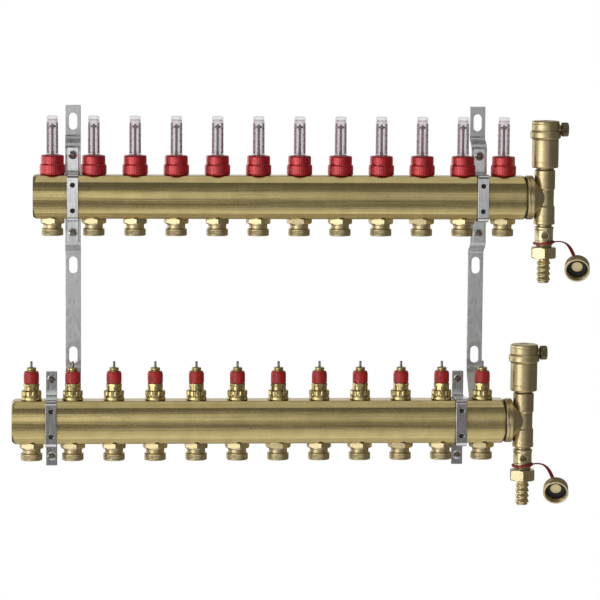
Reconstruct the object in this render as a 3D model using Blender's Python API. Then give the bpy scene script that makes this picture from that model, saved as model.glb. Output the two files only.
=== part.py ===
"""Wall-hung underfloor heating manifold: a supply bar with flow meters above a return bar with valves.

Metres. +X runs along the bars, +Z is up and -Y points away from the wall. The origin is on the wall face of
the left bracket, midway between the two bar axes. Each bar ends on the right in an air vent and a drain.
"""

import math

import bmesh
import bpy
from mathutils import Matrix, Vector

# Layout
CIRCUITS = 12
PITCH = 0.050
BAR_SPACING = 0.272
SUPPLY_FIRST = -0.0245
RETURN_FIRST = -0.050
BRACKET_SPACING = 0.4985
CLAMP_OFFSET = 0.0260
GAP = 0.0003
OVERLAP = 0.001

# Bar section, turned ends and gallery
BAR_HALF_HEIGHT = 0.02625
BAR_HALF_DEPTH = 0.0225
CREASE_HEIGHT = 0.01825
CREASE_DEPTH = 0.0195
TOP_FLAT_DEPTH = 0.0125
FACE_ARC_STEPS = 4
BAR_LEFT_REACH = 0.0235
BAR_RIGHT_REACH = 0.0273
GALLERY_RADIUS = 0.016
TURNED_END_RADIUS = 0.0245
TURNED_END_LENGTH = 0.006
TURNED_END_SLOPE = 1.0

# Outlet nipples under both bars
OUTLET_HEX_CORNER = 0.0156
OUTLET_HEX_HEIGHT = 0.0065
OUTLET_NECK_RADIUS = 0.011
OUTLET_NECK_HEIGHT = 0.006
OUTLET_THREAD_RADIUS = 0.0132
OUTLET_THREAD_HEIGHT = 0.0085
OUTLET_BORE_RADIUS = 0.0075
OUTLET_TURN = math.radians(37)

# Flow meters on the supply bar
METER_BASE_RADIUS = 0.010
METER_BASE_HEIGHT = 0.006
METER_SOCKET_RADIUS = 0.0107
METER_SOCKET_HEIGHT = 0.0065
METER_SKIRT_RADIUS = 0.0157
METER_SKIRT_HEIGHT = 0.013
METER_GRIP_RADIUS = 0.0141
METER_GRIP_HEIGHT = 0.011
METER_TUBE_RADIUS = 0.0073
METER_TUBE_HEIGHT = 0.0475

# Preset valves on the return bar
VALVE_FLANGE_RADIUS = 0.012
VALVE_FLANGE_HEIGHT = 0.012
VALVE_BODY_RADIUS = 0.0102
VALVE_BODY_HEIGHT = 0.0087
VALVE_NECK_RADIUS = 0.006
VALVE_NECK_HEIGHT = 0.0192
PRESET_RADIUS = 0.0093
PRESET_BORE_RADIUS = 0.0064
PRESET_HEIGHT = 0.0142
PIN_RADIUS = 0.0015
PIN_HOLE_RADIUS = 0.002
PIN_HOLE_DEPTH = 0.012
PIN_LENGTH = 0.016
PIN_PROUD = 0.0074

# Brackets and clamps
STRAP_WIDTH = 0.019
STRAP_THICKNESS = 0.0025
STRAP_TOP = 0.1086
STRAP_BOTTOM = 0.030
STRAP_STANDOFF = 0.0205
STRAP_LOWER_STANDOFF = 0.043
UPPER_JOG_TOP = (0.0675, 0.060)
UPPER_JOG_BOTTOM = (-0.061, -0.0685)
LOWER_BEND_START = 0.052
SLOT_WIDTH = 0.010
SLOT_HEIGHT = 0.021
SLOT_HEIGHTS = (0.0888, -0.0882, -0.1997)
CLAMP_WIDTH = 0.0135
CLAMP_THICKNESS = 0.002
CLAMP_FLANGE_REACH = 0.058
CLAMP_HOLE_RADIUS = 0.0029
CLAMP_HOLE_HEIGHT = 0.0155
OFFSET_PLATE_THICKNESS = 0.003
OFFSET_PLATE_BITE = 0.0005
OFFSET_PLATE_HEIGHT = 0.040
SCREW_HEIGHTS = (0.049, -0.046)
SCREW_HOLE_RADIUS = 0.0021

# End sets: a tee with an air vent above it and a drain valve below it
END_AXIS_REACH = 0.024
COLLAR_RADIUS = 0.027
COLLAR_LENGTH = 0.0095
COLLAR_CHAMFER = 0.001
PLUG_RADIUS = 0.0154
PLUG_LENGTH = 0.012
CONE_RADIUS = 0.0225
CONE_TIP_RADIUS = 0.009
CONE_TIP_REACH = 0.001
TEE_RADIUS = 0.0126
TEE_WAIST_RADIUS = 0.0114
TEE_WAIST = 0.0105
TEE_TOP = 0.034
TEE_BOTTOM = -0.033
TEE_BORE_RADIUS = 0.007
TEE_BRANCH_BORE_RADIUS = 0.0055
VENT_NECK_RADIUS = 0.011
VENT_NECK_HEIGHT = 0.0022
VENT_BODY_RADIUS = 0.0163
VENT_BODY_HEIGHT = 0.0354
VENT_COLLAR_RADIUS = 0.0187
VENT_COLLAR_HEIGHT = 0.010
VENT_HEAD_RADIUS = 0.017
VENT_HEAD_HEIGHT = 0.0122
VENT_CHAMBER_RADIUS = 0.0135
VENT_WALL = 0.003
VENT_BOSS_HEIGHT = 0.0834
VENT_BOSS_RADIUS = 0.005
VENT_BOSS_REACH = 0.0190
VENT_CAP_RADIUS = 0.0087
VENT_CAP_LENGTH = 0.0087
DRAIN_NECK_RADIUS = 0.0095
DRAIN_RING_RADIUS = 0.01175
DRAIN_BARREL_RADIUS = 0.0112
DRAIN_RING_TOP = -0.0355
DRAIN_RING_BOTTOM = -0.039
DRAIN_BARREL_BOTTOM = -0.0585
DRAIN_SPIGOT_RADIUS = 0.0098
DRAIN_SPIGOT_BOTTOM = -0.068
DRAIN_BORE_RADIUS = 0.005
SPINDLE_HEIGHT = -0.0465
SPINDLE_RADIUS = 0.0033
SPINDLE_HOLE_RADIUS = 0.0038
SPINDLE_PROUD = 0.0015
SPINDLE_LENGTH = 0.0145
SPINDLE_SLOT_WIDTH = 0.0012
NUT_TOP = -0.061
NUT_HEIGHT = 0.0135
NUT_CORNER = 0.0166
NUT_BORE_RADIUS = 0.0104
BARB_ROOT_RADIUS = 0.0066
BARB_CREST_RADIUS = 0.0078
BARB_BORE_RADIUS = 0.0045
BARB_LENGTH = 0.0305
BARBS = 4
TETHER_THICKNESS = 0.0015
TETHER_WIDTH = 0.0045
TETHER_RING_INNER = 0.0116
TETHER_RING_OUTER = 0.0134
TETHER_HEIGHT = -0.0555
TETHER_RING_HEIGHT = 0.0035
CAP_RADIUS = 0.0155
CAP_BORE_RADIUS = 0.0128
CAP_LENGTH = 0.0135
CAP_FLOOR = 0.003
CAP_KNOB_RADIUS = 0.0045
CAP_KNOB_LENGTH = 0.004
CAP_POSITION = (0.0410, -0.006, -0.0865)
CAP_TILT = math.radians(20)
CAP_YAW = math.radians(8)
TETHER_EYE_INNER = 0.0050
TETHER_EYE_OUTER = 0.0084
TETHER_EYE_THICKNESS = 0.0024
TETHER_EYE_SIDE = -0.25
TETHER_START_PULL = (0.018, 0, 0.004)
TETHER_END_PULL = (-0.006, 0, 0.013)
TETHER_STEPS = 8

# Facet counts
ROUND = 12
WIDE_ROUND = 20
CAP_ROUND = 16
SMALL_ROUND = 8
TURNED_END_ROUND = 24
SLOT_END_STEPS = 4
SMOOTH_ANGLE = math.radians(38)
ON_AXIS = 1e-7

# Worked out from the above
TETHER_RING_MIDDLE = (TETHER_RING_INNER + TETHER_RING_OUTER) / 2
TETHER_EYE_MIDDLE = (TETHER_EYE_INNER + TETHER_EYE_OUTER) / 2
SUPPLY_HEIGHT = BAR_SPACING / 2
RETURN_HEIGHT = -BAR_SPACING / 2
SUPPLY_BACK = -(STRAP_STANDOFF + STRAP_THICKNESS + GAP)
PLATE_FRONT = -(STRAP_LOWER_STANDOFF + STRAP_THICKNESS - OFFSET_PLATE_BITE + OFFSET_PLATE_THICKNESS)
RETURN_BACK = PLATE_FRONT - GAP
TURN_Z_TO_X = Matrix.Rotation(math.radians(90), 4, "Y")
TURN_Z_TO_FRONT = Matrix.Rotation(math.radians(90), 4, "X")


def clear_scene():
    for thing in list(bpy.data.objects):
        bpy.data.objects.remove(thing, do_unlink=True)


def finish(name, colour, roughness, metallic, alpha=1.0):
    """A Principled material in one colour."""
    made = bpy.data.materials.new(name)
    made.use_nodes = True
    shader = made.node_tree.nodes["Principled BSDF"]
    shader.inputs["Base Color"].default_value = (*colour, 1.0)
    shader.inputs["Roughness"].default_value = roughness
    shader.inputs["Metallic"].default_value = metallic
    shader.inputs["Alpha"].default_value = alpha
    return made


def flatted(radius, angle, flats):
    """The distance from the axis to a regular outline whose corners are at this radius."""
    if not flats:
        return radius
    step = math.tau / flats
    return radius * math.cos(step / 2) / math.cos(angle % step - step / 2)


def turned(profile, sides=ROUND, ring=False):
    """A solid turned about Z from points of (radius, height), or (radius, height, flats) for a hexagon."""
    shape = bmesh.new()
    loops = []
    for radius, height, *flats in profile:
        if radius < ON_AXIS:
            loops.append([shape.verts.new((0, 0, height))])
            continue
        loop = []
        for i in range(sides):
            angle = math.tau * i / sides
            reach = flatted(radius, angle, flats[0] if flats else 0)
            loop.append(shape.verts.new((reach * math.cos(angle), reach * math.sin(angle), height)))
        loops.append(loop)
    pairs = list(zip(loops, loops[1:]))
    if ring:
        pairs.append((loops[-1], loops[0]))
    for first, second in pairs:
        for i in range(sides):
            j = (i + 1) % sides
            if len(first) == 1:
                shape.faces.new((first[0], second[i], second[j]))
            elif len(second) == 1:
                shape.faces.new((first[i], first[j], second[0]))
            else:
                shape.faces.new((first[i], first[j], second[j], second[i]))
    bmesh.ops.recalc_face_normals(shape, faces=shape.faces)
    return shape


def rod(radius, low, high, sides=ROUND):
    return turned([(0, high), (radius, high), (radius, low), (0, low)], sides)


def extruded(outline, low, high, matrix=Matrix.Identity(4)):
    """A prism on an outline in the XY plane, from Z low to Z high, then moved by the matrix."""
    shape = bmesh.new()
    bottom = [shape.verts.new((x, y, low)) for x, y in outline]
    face = shape.faces.new(bottom)
    raised = bmesh.ops.extrude_face_region(shape, geom=[face])
    top = [item for item in raised["geom"] if isinstance(item, bmesh.types.BMVert)]
    bmesh.ops.translate(shape, verts=top, vec=(0, 0, high - low))
    bmesh.ops.recalc_face_normals(shape, faces=shape.faces)
    bmesh.ops.transform(shape, matrix=matrix, verts=shape.verts)
    return shape


def copies(shape, matrices):
    """One mesh that holds the shape at each of the matrices."""
    single = bpy.data.meshes.new("single")
    shape.to_mesh(single)
    shape.free()
    group = bmesh.new()
    for matrix in matrices:
        start = len(group.verts)
        group.from_mesh(single)
        group.verts.ensure_lookup_table()
        bmesh.ops.transform(group, matrix=matrix, verts=group.verts[start:])
    bpy.data.meshes.remove(single)
    return group


def moved(shape, matrix):
    bmesh.ops.transform(shape, matrix=matrix, verts=shape.verts)
    return shape


def add_object(name, shape, place, material=None):
    mesh = bpy.data.meshes.new(name)
    shape.to_mesh(mesh)
    shape.free()
    mesh.shade_smooth()
    mesh.set_sharp_from_angle(angle=SMOOTH_ANGLE)
    made = bpy.data.objects.new(name, mesh)
    made.location = place
    bpy.context.scene.collection.objects.link(made)
    if material:
        mesh.materials.append(material)
    return made


def combine(target, shape, operation):
    """A Boolean of the shape, given in the target's own axes, on the target."""
    label = f"{target.name}_{operation.lower()}_{len(target.modifiers)}"
    helper = add_object(label, shape, target.location)
    helper.hide_render = True
    helper.display_type = "WIRE"
    change = target.modifiers.new(operation.title(), "BOOLEAN")
    change.operation = operation
    change.solver = "EXACT"
    change.object = helper


def along_bar(first, height=0.0, turn=0.0):
    """A matrix for each circuit's place on a bar whose object starts at its first circuit."""
    return [
        Matrix.Translation((first + i * PITCH, 0, height)) @ Matrix.Rotation(turn * i, 4, "Z")
        for i in range(CIRCUITS)
    ]


def bar_outline():
    """The extruded section: flat top and bottom, sloping facets, and crowned front and back faces."""
    sagitta = BAR_HALF_DEPTH - CREASE_DEPTH
    radius = (CREASE_HEIGHT**2 + sagitta**2) / (2 * sagitta)
    spread = math.asin(CREASE_HEIGHT / radius)
    centre = BAR_HALF_DEPTH - radius
    points = []
    for side in (1, -1):
        points.append((side * BAR_HALF_HEIGHT, -side * TOP_FLAT_DEPTH))
        points.append((side * BAR_HALF_HEIGHT, side * TOP_FLAT_DEPTH))
        for i in range(FACE_ARC_STEPS + 1):
            angle = spread * (1 - 2 * i / FACE_ARC_STEPS)
            points.append((side * radius * math.sin(angle), side * (centre + radius * math.cos(angle))))
    return points


def bar(name, material, first, centre, height):
    """An extruded bar with turned ends, a gallery and outlets. Its origin is on the axis, at the left."""
    length = bar_length()
    place = (first - BAR_LEFT_REACH, centre, height)
    stock = extruded(bar_outline(), -2 * OVERLAP, length + 2 * OVERLAP, TURN_Z_TO_X)
    made = add_object(name, stock, place, material)
    wide = TURNED_END_RADIUS + TURNED_END_SLOPE * TURNED_END_LENGTH
    blank = [
        (0, length),
        (TURNED_END_RADIUS, length),
        (wide, length - TURNED_END_LENGTH),
        (wide, TURNED_END_LENGTH),
        (TURNED_END_RADIUS, 0),
        (0, 0),
    ]
    combine(made, moved(turned(blank, TURNED_END_ROUND), TURN_Z_TO_X), "INTERSECT")
    gallery = rod(GALLERY_RADIUS, -OVERLAP, length + OVERLAP, WIDE_ROUND)
    combine(made, moved(gallery, TURN_Z_TO_X), "DIFFERENCE")
    outlet = turned(
        [
            (0, -BAR_HALF_HEIGHT + OVERLAP),
            (OUTLET_HEX_CORNER, -BAR_HALF_HEIGHT + OVERLAP, 6),
            (OUTLET_HEX_CORNER, -BAR_HALF_HEIGHT - OUTLET_HEX_HEIGHT, 6),
            (OUTLET_NECK_RADIUS, -BAR_HALF_HEIGHT - OUTLET_HEX_HEIGHT),
            (OUTLET_NECK_RADIUS, -outlet_depth() + OUTLET_THREAD_HEIGHT),
            (OUTLET_THREAD_RADIUS, -outlet_depth() + OUTLET_THREAD_HEIGHT),
            (OUTLET_THREAD_RADIUS, -outlet_depth()),
            (0, -outlet_depth()),
        ]
    )
    combine(made, copies(outlet, along_bar(BAR_LEFT_REACH, turn=OUTLET_TURN)), "UNION")
    return made


def bar_length():
    return (CIRCUITS - 1) * PITCH + BAR_LEFT_REACH + BAR_RIGHT_REACH


def outlet_depth():
    """How far an outlet's lower end is below the bar's axis."""
    return BAR_HALF_HEIGHT + OUTLET_HEX_HEIGHT + OUTLET_NECK_HEIGHT + OUTLET_THREAD_HEIGHT


def bore_outlets(made):
    """Opens a bore up each outlet into the gallery."""
    bore = rod(OUTLET_BORE_RADIUS, -outlet_depth() - OVERLAP, -GALLERY_RADIUS / 2, SMALL_ROUND)
    combine(made, copies(bore, along_bar(BAR_LEFT_REACH)), "DIFFERENCE")


def supply_bar(material):
    centre = SUPPLY_BACK - BAR_HALF_DEPTH
    made = bar("supply_bar", material, SUPPLY_FIRST, centre, SUPPLY_HEIGHT)
    base = rod(METER_BASE_RADIUS, -OVERLAP, METER_BASE_HEIGHT)
    combine(made, copies(base, along_bar(BAR_LEFT_REACH, BAR_HALF_HEIGHT)), "UNION")
    bore_outlets(made)
    return centre


def return_bar(material):
    centre = RETURN_BACK - BAR_HALF_DEPTH
    made = bar("return_bar", material, RETURN_FIRST, centre, RETURN_HEIGHT)
    shoulder = VALVE_FLANGE_HEIGHT + VALVE_BODY_HEIGHT
    top = shoulder + VALVE_NECK_HEIGHT
    body = turned(
        [
            (0, top - PIN_HOLE_DEPTH),
            (PIN_HOLE_RADIUS, top - PIN_HOLE_DEPTH),
            (PIN_HOLE_RADIUS, top),
            (VALVE_NECK_RADIUS, top),
            (VALVE_NECK_RADIUS, shoulder),
            (VALVE_BODY_RADIUS, shoulder),
            (VALVE_BODY_RADIUS, VALVE_FLANGE_HEIGHT),
            (VALVE_FLANGE_RADIUS, VALVE_FLANGE_HEIGHT),
            (VALVE_FLANGE_RADIUS, -OVERLAP),
            (0, -OVERLAP),
        ]
    )
    combine(made, copies(body, along_bar(BAR_LEFT_REACH, BAR_HALF_HEIGHT)), "UNION")
    bore_outlets(made)
    return centre


def flow_meters(material, centre):
    """A red grip with the sight tube on it, turning on the brass base."""
    grip_top = METER_SKIRT_HEIGHT + METER_GRIP_HEIGHT
    for i in range(CIRCUITS):
        shape = turned(
            [
                (0, grip_top + METER_TUBE_HEIGHT),
                (METER_TUBE_RADIUS, grip_top + METER_TUBE_HEIGHT),
                (METER_TUBE_RADIUS, grip_top),
                (METER_GRIP_RADIUS, grip_top),
                (METER_GRIP_RADIUS, METER_SKIRT_HEIGHT),
                (METER_SKIRT_RADIUS, METER_SKIRT_HEIGHT),
                (METER_SKIRT_RADIUS, 0),
                (METER_SOCKET_RADIUS, 0),
                (METER_SOCKET_RADIUS, METER_SOCKET_HEIGHT),
                (0, METER_SOCKET_HEIGHT),
            ]
        )
        place = (SUPPLY_FIRST + i * PITCH, centre, SUPPLY_HEIGHT + BAR_HALF_HEIGHT + GAP)
        add_object(f"flow_meter_{i + 1:02d}", shape, place, material)


def valve_tops(ring_material, pin_material, centre):
    """The preset ring that turns on each valve's neck, and the pin that an actuator pushes down."""
    bar_top = RETURN_HEIGHT + BAR_HALF_HEIGHT
    shoulder = bar_top + VALVE_FLANGE_HEIGHT + VALVE_BODY_HEIGHT
    neck_top = shoulder + VALVE_NECK_HEIGHT
    for i in range(CIRCUITS):
        across = RETURN_FIRST + i * PITCH
        shape = turned(
            [
                (PRESET_RADIUS, PRESET_HEIGHT),
                (PRESET_RADIUS, 0),
                (PRESET_BORE_RADIUS, 0),
                (PRESET_BORE_RADIUS, PRESET_HEIGHT),
            ],
            ring=True,
        )
        add_object(f"preset_ring_{i + 1:02d}", shape, (across, centre, shoulder + GAP), ring_material)
        pin = rod(PIN_RADIUS, PIN_PROUD - PIN_LENGTH, PIN_PROUD, SMALL_ROUND)
        add_object(f"valve_pin_{i + 1:02d}", pin, (across, centre, neck_top), pin_material)


def bent_strip(path, thickness, width):
    """A strip bent along a path of (forward, up) points on its wall side, and centred on X."""
    offsets = []
    for i, point in enumerate(path):
        here = Vector(point)
        before = (here - Vector(path[i - 1])).normalized() if i else None
        after = (Vector(path[i + 1]) - here).normalized() if i + 1 < len(path) else None
        before = before or after
        after = after or before
        normal = Vector((-before.y - after.y, before.x + after.x)).normalized()
        across = Vector((-before.y, before.x))
        offsets.append(here + normal * thickness / normal.dot(across))
    outline = [*(Vector(point) for point in path), *reversed(offsets)]
    turn = Matrix(((0, 0, 1, 0), (-1, 0, 0, 0), (0, 1, 0, 0), (0, 0, 0, 1)))
    return extruded([(point.x, point.y) for point in outline], -width / 2, width / 2, turn)


def slot_cutter(height):
    """A slot with round ends, right through a strap."""
    straight = (SLOT_HEIGHT - SLOT_WIDTH) / 2
    outline = []
    for side in (1, -1):
        for i in range(SLOT_END_STEPS + 1):
            angle = math.pi * i / SLOT_END_STEPS
            x = side * SLOT_WIDTH / 2 * math.cos(angle)
            outline.append((x, side * (straight + SLOT_WIDTH / 2 * math.sin(angle))))
    place = Matrix.Translation((0, 0, height)) @ TURN_Z_TO_FRONT
    return extruded(outline, -OVERLAP, STRAP_THICKNESS + OVERLAP, place)


def brackets(material, clamp_material, supply_centre, return_centre):
    """Two straps, each stepping out behind the supply bar and bending out behind the return bar."""
    lower_end = RETURN_HEIGHT - STRAP_BOTTOM
    bend = RETURN_HEIGHT + LOWER_BEND_START
    path = [
        (0, SUPPLY_HEIGHT + STRAP_TOP),
        (0, SUPPLY_HEIGHT + UPPER_JOG_TOP[0]),
        (STRAP_STANDOFF, SUPPLY_HEIGHT + UPPER_JOG_TOP[1]),
        (STRAP_STANDOFF, SUPPLY_HEIGHT + UPPER_JOG_BOTTOM[0]),
        (0, SUPPLY_HEIGHT + UPPER_JOG_BOTTOM[1]),
        (0, bend),
        (STRAP_LOWER_STANDOFF, bend - STRAP_LOWER_STANDOFF),
        (STRAP_LOWER_STANDOFF, lower_end),
    ]
    for side, across in (("left", 0.0), ("right", BRACKET_SPACING)):
        strap = add_object(
            f"bracket_{side}",
            bent_strip(path, STRAP_THICKNESS, STRAP_WIDTH),
            (across, 0, 0),
            material,
        )
        combine(strap, offset_plate(), "UNION")
        slots = [slot_cutter(SUPPLY_HEIGHT + height) for height in SLOT_HEIGHTS]
        for slot in slots:
            combine(strap, slot, "DIFFERENCE")
        supply_place = (across, supply_centre, SUPPLY_HEIGHT)
        clamp(f"supply_clamp_{side}", clamp_material, supply_place, SUPPLY_BACK)
        return_place = (across - CLAMP_OFFSET, return_centre, RETURN_HEIGHT)
        clamp(f"return_clamp_{side}", clamp_material, return_place, RETURN_BACK)


def offset_plate():
    """The tee-shaped plate, welded to the strap, that carries the return bar's clamp beside the strap."""
    leg = CLAMP_WIDTH / 2
    reach = CLAMP_FLANGE_REACH
    tab = OFFSET_PLATE_HEIGHT / 2
    right = STRAP_WIDTH / 2
    outline = [
        (-CLAMP_OFFSET - leg, -reach),
        (-CLAMP_OFFSET + leg, -reach),
        (-CLAMP_OFFSET + leg, -tab),
        (right, -tab),
        (right, tab),
        (-CLAMP_OFFSET + leg, tab),
        (-CLAMP_OFFSET + leg, reach),
        (-CLAMP_OFFSET - leg, reach),
    ]
    place = Matrix.Translation((0, 0, RETURN_HEIGHT)) @ TURN_Z_TO_FRONT
    return extruded(outline, -PLATE_FRONT - OFFSET_PLATE_THICKNESS, -PLATE_FRONT, place)


def clamp(name, material, place, back):
    """A hat-shaped clamp round the bar whose axis is at place, with a flange above and below for screws."""
    across, centre, height = place
    root = -back
    crown = -centre + BAR_HALF_DEPTH + GAP
    leg = BAR_HALF_HEIGHT + 2 * GAP
    path = [(root, CLAMP_FLANGE_REACH), (root, leg), (crown, leg)]
    path += [(forward, -up) for forward, up in reversed(path)]
    made = add_object(name, bent_strip(path, CLAMP_THICKNESS, CLAMP_WIDTH), (across, 0, height), material)
    for up, radius in (
        (CLAMP_HOLE_HEIGHT, CLAMP_HOLE_RADIUS),
        (-CLAMP_HOLE_HEIGHT, CLAMP_HOLE_RADIUS),
        *((up, SCREW_HOLE_RADIUS) for up in SCREW_HEIGHTS),
    ):
        start = crown if abs(up) < leg else root
        hole = rod(radius, start - OVERLAP, start + CLAMP_THICKNESS + OVERLAP, SMALL_ROUND)
        combine(made, moved(hole, Matrix.Translation((0, 0, up)) @ TURN_Z_TO_FRONT), "DIFFERENCE")


def end_tee(label, material, place):
    """The tee that closes a bar's right end and carries the vent and the drain."""
    barrel = turned(
        [
            (0, TEE_TOP),
            (TEE_RADIUS, TEE_TOP),
            (TEE_RADIUS, TEE_WAIST),
            (TEE_WAIST_RADIUS, TEE_WAIST),
            (TEE_WAIST_RADIUS, -TEE_WAIST),
            (TEE_RADIUS, -TEE_WAIST),
            (TEE_RADIUS, TEE_BOTTOM),
            (0, TEE_BOTTOM),
        ]
    )
    made = add_object(f"{label}_end_tee", barrel, place, material)
    face = -END_AXIS_REACH + GAP
    branch = turned(
        [
            (0, face - PLUG_LENGTH),
            (PLUG_RADIUS, face - PLUG_LENGTH),
            (PLUG_RADIUS, face),
            (COLLAR_RADIUS, face),
            (COLLAR_RADIUS, face + COLLAR_LENGTH - COLLAR_CHAMFER),
            (CONE_RADIUS, face + COLLAR_LENGTH),
            (CONE_TIP_RADIUS, CONE_TIP_REACH),
            (0, CONE_TIP_REACH),
        ],
        WIDE_ROUND,
    )
    combine(made, moved(branch, TURN_Z_TO_X), "UNION")
    along = rod(TEE_BRANCH_BORE_RADIUS, face - PLUG_LENGTH - OVERLAP, 0, ROUND)
    combine(made, moved(along, TURN_Z_TO_X), "DIFFERENCE")
    upright = rod(TEE_BORE_RADIUS, TEE_BOTTOM - OVERLAP, TEE_TOP + OVERLAP, ROUND)
    combine(made, upright, "DIFFERENCE")


def air_vent(label, material, cap_material, place):
    """The float vent: a chamber open at its neck, a head with a side boss, and the boss's screw cap."""
    body_low = VENT_NECK_HEIGHT
    collar_low = body_low + VENT_BODY_HEIGHT
    head_low = collar_low + VENT_COLLAR_HEIGHT
    top = head_low + VENT_HEAD_HEIGHT
    shape = turned(
        [
            (0, top),
            (VENT_HEAD_RADIUS, top),
            (VENT_HEAD_RADIUS, head_low),
            (VENT_COLLAR_RADIUS, head_low),
            (VENT_COLLAR_RADIUS, collar_low),
            (VENT_BODY_RADIUS, collar_low),
            (VENT_BODY_RADIUS, body_low),
            (VENT_NECK_RADIUS, body_low),
            (VENT_NECK_RADIUS, 0),
            (TEE_BORE_RADIUS, 0),
            (TEE_BORE_RADIUS, body_low + VENT_WALL),
            (VENT_CHAMBER_RADIUS, body_low + VENT_WALL),
            (VENT_CHAMBER_RADIUS, top - VENT_WALL),
            (0, top - VENT_WALL),
        ],
        WIDE_ROUND,
    )
    low = Vector(place) + Vector((0, 0, TEE_TOP + GAP))
    made = add_object(f"{label}_air_vent", shape, low, material)
    boss_up = VENT_BOSS_HEIGHT - TEE_TOP - GAP
    boss = rod(VENT_BOSS_RADIUS, VENT_HEAD_RADIUS - VENT_WALL / 2, VENT_BOSS_REACH, ROUND)
    combine(made, moved(boss, Matrix.Translation((0, 0, boss_up)) @ TURN_Z_TO_X), "UNION")
    cap = moved(rod(VENT_CAP_RADIUS, 0, VENT_CAP_LENGTH), TURN_Z_TO_X)
    at = Vector(place) + Vector((VENT_BOSS_REACH + GAP, 0, VENT_BOSS_HEIGHT))
    add_object(f"{label}_vent_cap", cap, at, cap_material)


def drain_valve(label, material, spindle_material, place):
    """The drain cock under the tee: a bored barrel with a slotted spindle across it, and a spigot."""
    shape = turned(
        [
            (DRAIN_NECK_RADIUS, TEE_BOTTOM - GAP),
            (DRAIN_NECK_RADIUS, DRAIN_RING_TOP),
            (DRAIN_RING_RADIUS, DRAIN_RING_TOP),
            (DRAIN_RING_RADIUS, DRAIN_RING_BOTTOM),
            (DRAIN_BARREL_RADIUS, DRAIN_RING_BOTTOM),
            (DRAIN_BARREL_RADIUS, DRAIN_BARREL_BOTTOM),
            (DRAIN_SPIGOT_RADIUS, DRAIN_BARREL_BOTTOM),
            (DRAIN_SPIGOT_RADIUS, DRAIN_SPIGOT_BOTTOM),
            (DRAIN_BORE_RADIUS, DRAIN_SPIGOT_BOTTOM),
            (DRAIN_BORE_RADIUS, TEE_BOTTOM - GAP),
        ],
        ring=True,
    )
    made = add_object(f"{label}_drain_valve", shape, place, material)
    front = DRAIN_BARREL_RADIUS + SPINDLE_PROUD
    across = Matrix.Translation((0, 0, SPINDLE_HEIGHT)) @ TURN_Z_TO_FRONT
    hole = rod(SPINDLE_HOLE_RADIUS, front - SPINDLE_LENGTH - GAP, front + OVERLAP, SMALL_ROUND)
    combine(made, moved(hole, across), "DIFFERENCE")
    spindle = moved(rod(SPINDLE_RADIUS, front - SPINDLE_LENGTH, front, SMALL_ROUND), TURN_Z_TO_FRONT)
    at = Vector(place) + Vector((0, 0, SPINDLE_HEIGHT))
    cock = add_object(f"{label}_drain_spindle", spindle, at, spindle_material)
    half = SPINDLE_SLOT_WIDTH / 2
    wide = SPINDLE_RADIUS + OVERLAP
    outline = [(-wide, -half), (wide, -half), (wide, half), (-wide, half)]
    slot = extruded(outline, front - SPINDLE_SLOT_WIDTH, front + OVERLAP, TURN_Z_TO_FRONT)
    combine(cock, slot, "DIFFERENCE")


def hose_union(label, material, place):
    """The union nut with the barbed hose tail under it, turning on the drain valve's spigot."""
    nut_bottom = NUT_TOP - NUT_HEIGHT
    profile = [
        (NUT_CORNER, NUT_TOP, 6),
        (NUT_CORNER, nut_bottom, 6),
        (BARB_ROOT_RADIUS, nut_bottom),
    ]
    step = BARB_LENGTH / (BARBS + 1)
    for i in range(1, BARBS + 1):
        profile.append((BARB_ROOT_RADIUS, nut_bottom - (i - 0.5) * step))
        profile.append((BARB_CREST_RADIUS, nut_bottom - i * step))
    profile += [
        (BARB_ROOT_RADIUS, nut_bottom - BARB_LENGTH),
        (BARB_BORE_RADIUS, nut_bottom - BARB_LENGTH),
        (BARB_BORE_RADIUS, DRAIN_SPIGOT_BOTTOM - OVERLAP),
        (NUT_BORE_RADIUS, DRAIN_SPIGOT_BOTTOM - OVERLAP),
        (NUT_BORE_RADIUS, NUT_TOP),
    ]
    add_object(f"{label}_hose_union", turned(profile, ring=True), place, material)


def cap_matrix():
    """Where the hanging cap's mouth is, with local +Z pointing out of the mouth."""
    yaw = Matrix.Rotation(-CAP_YAW, 4, "Z")
    tilt = Matrix.Rotation(math.radians(90) + CAP_TILT, 4, "X")
    return Matrix.Translation(CAP_POSITION) @ yaw @ tilt


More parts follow.
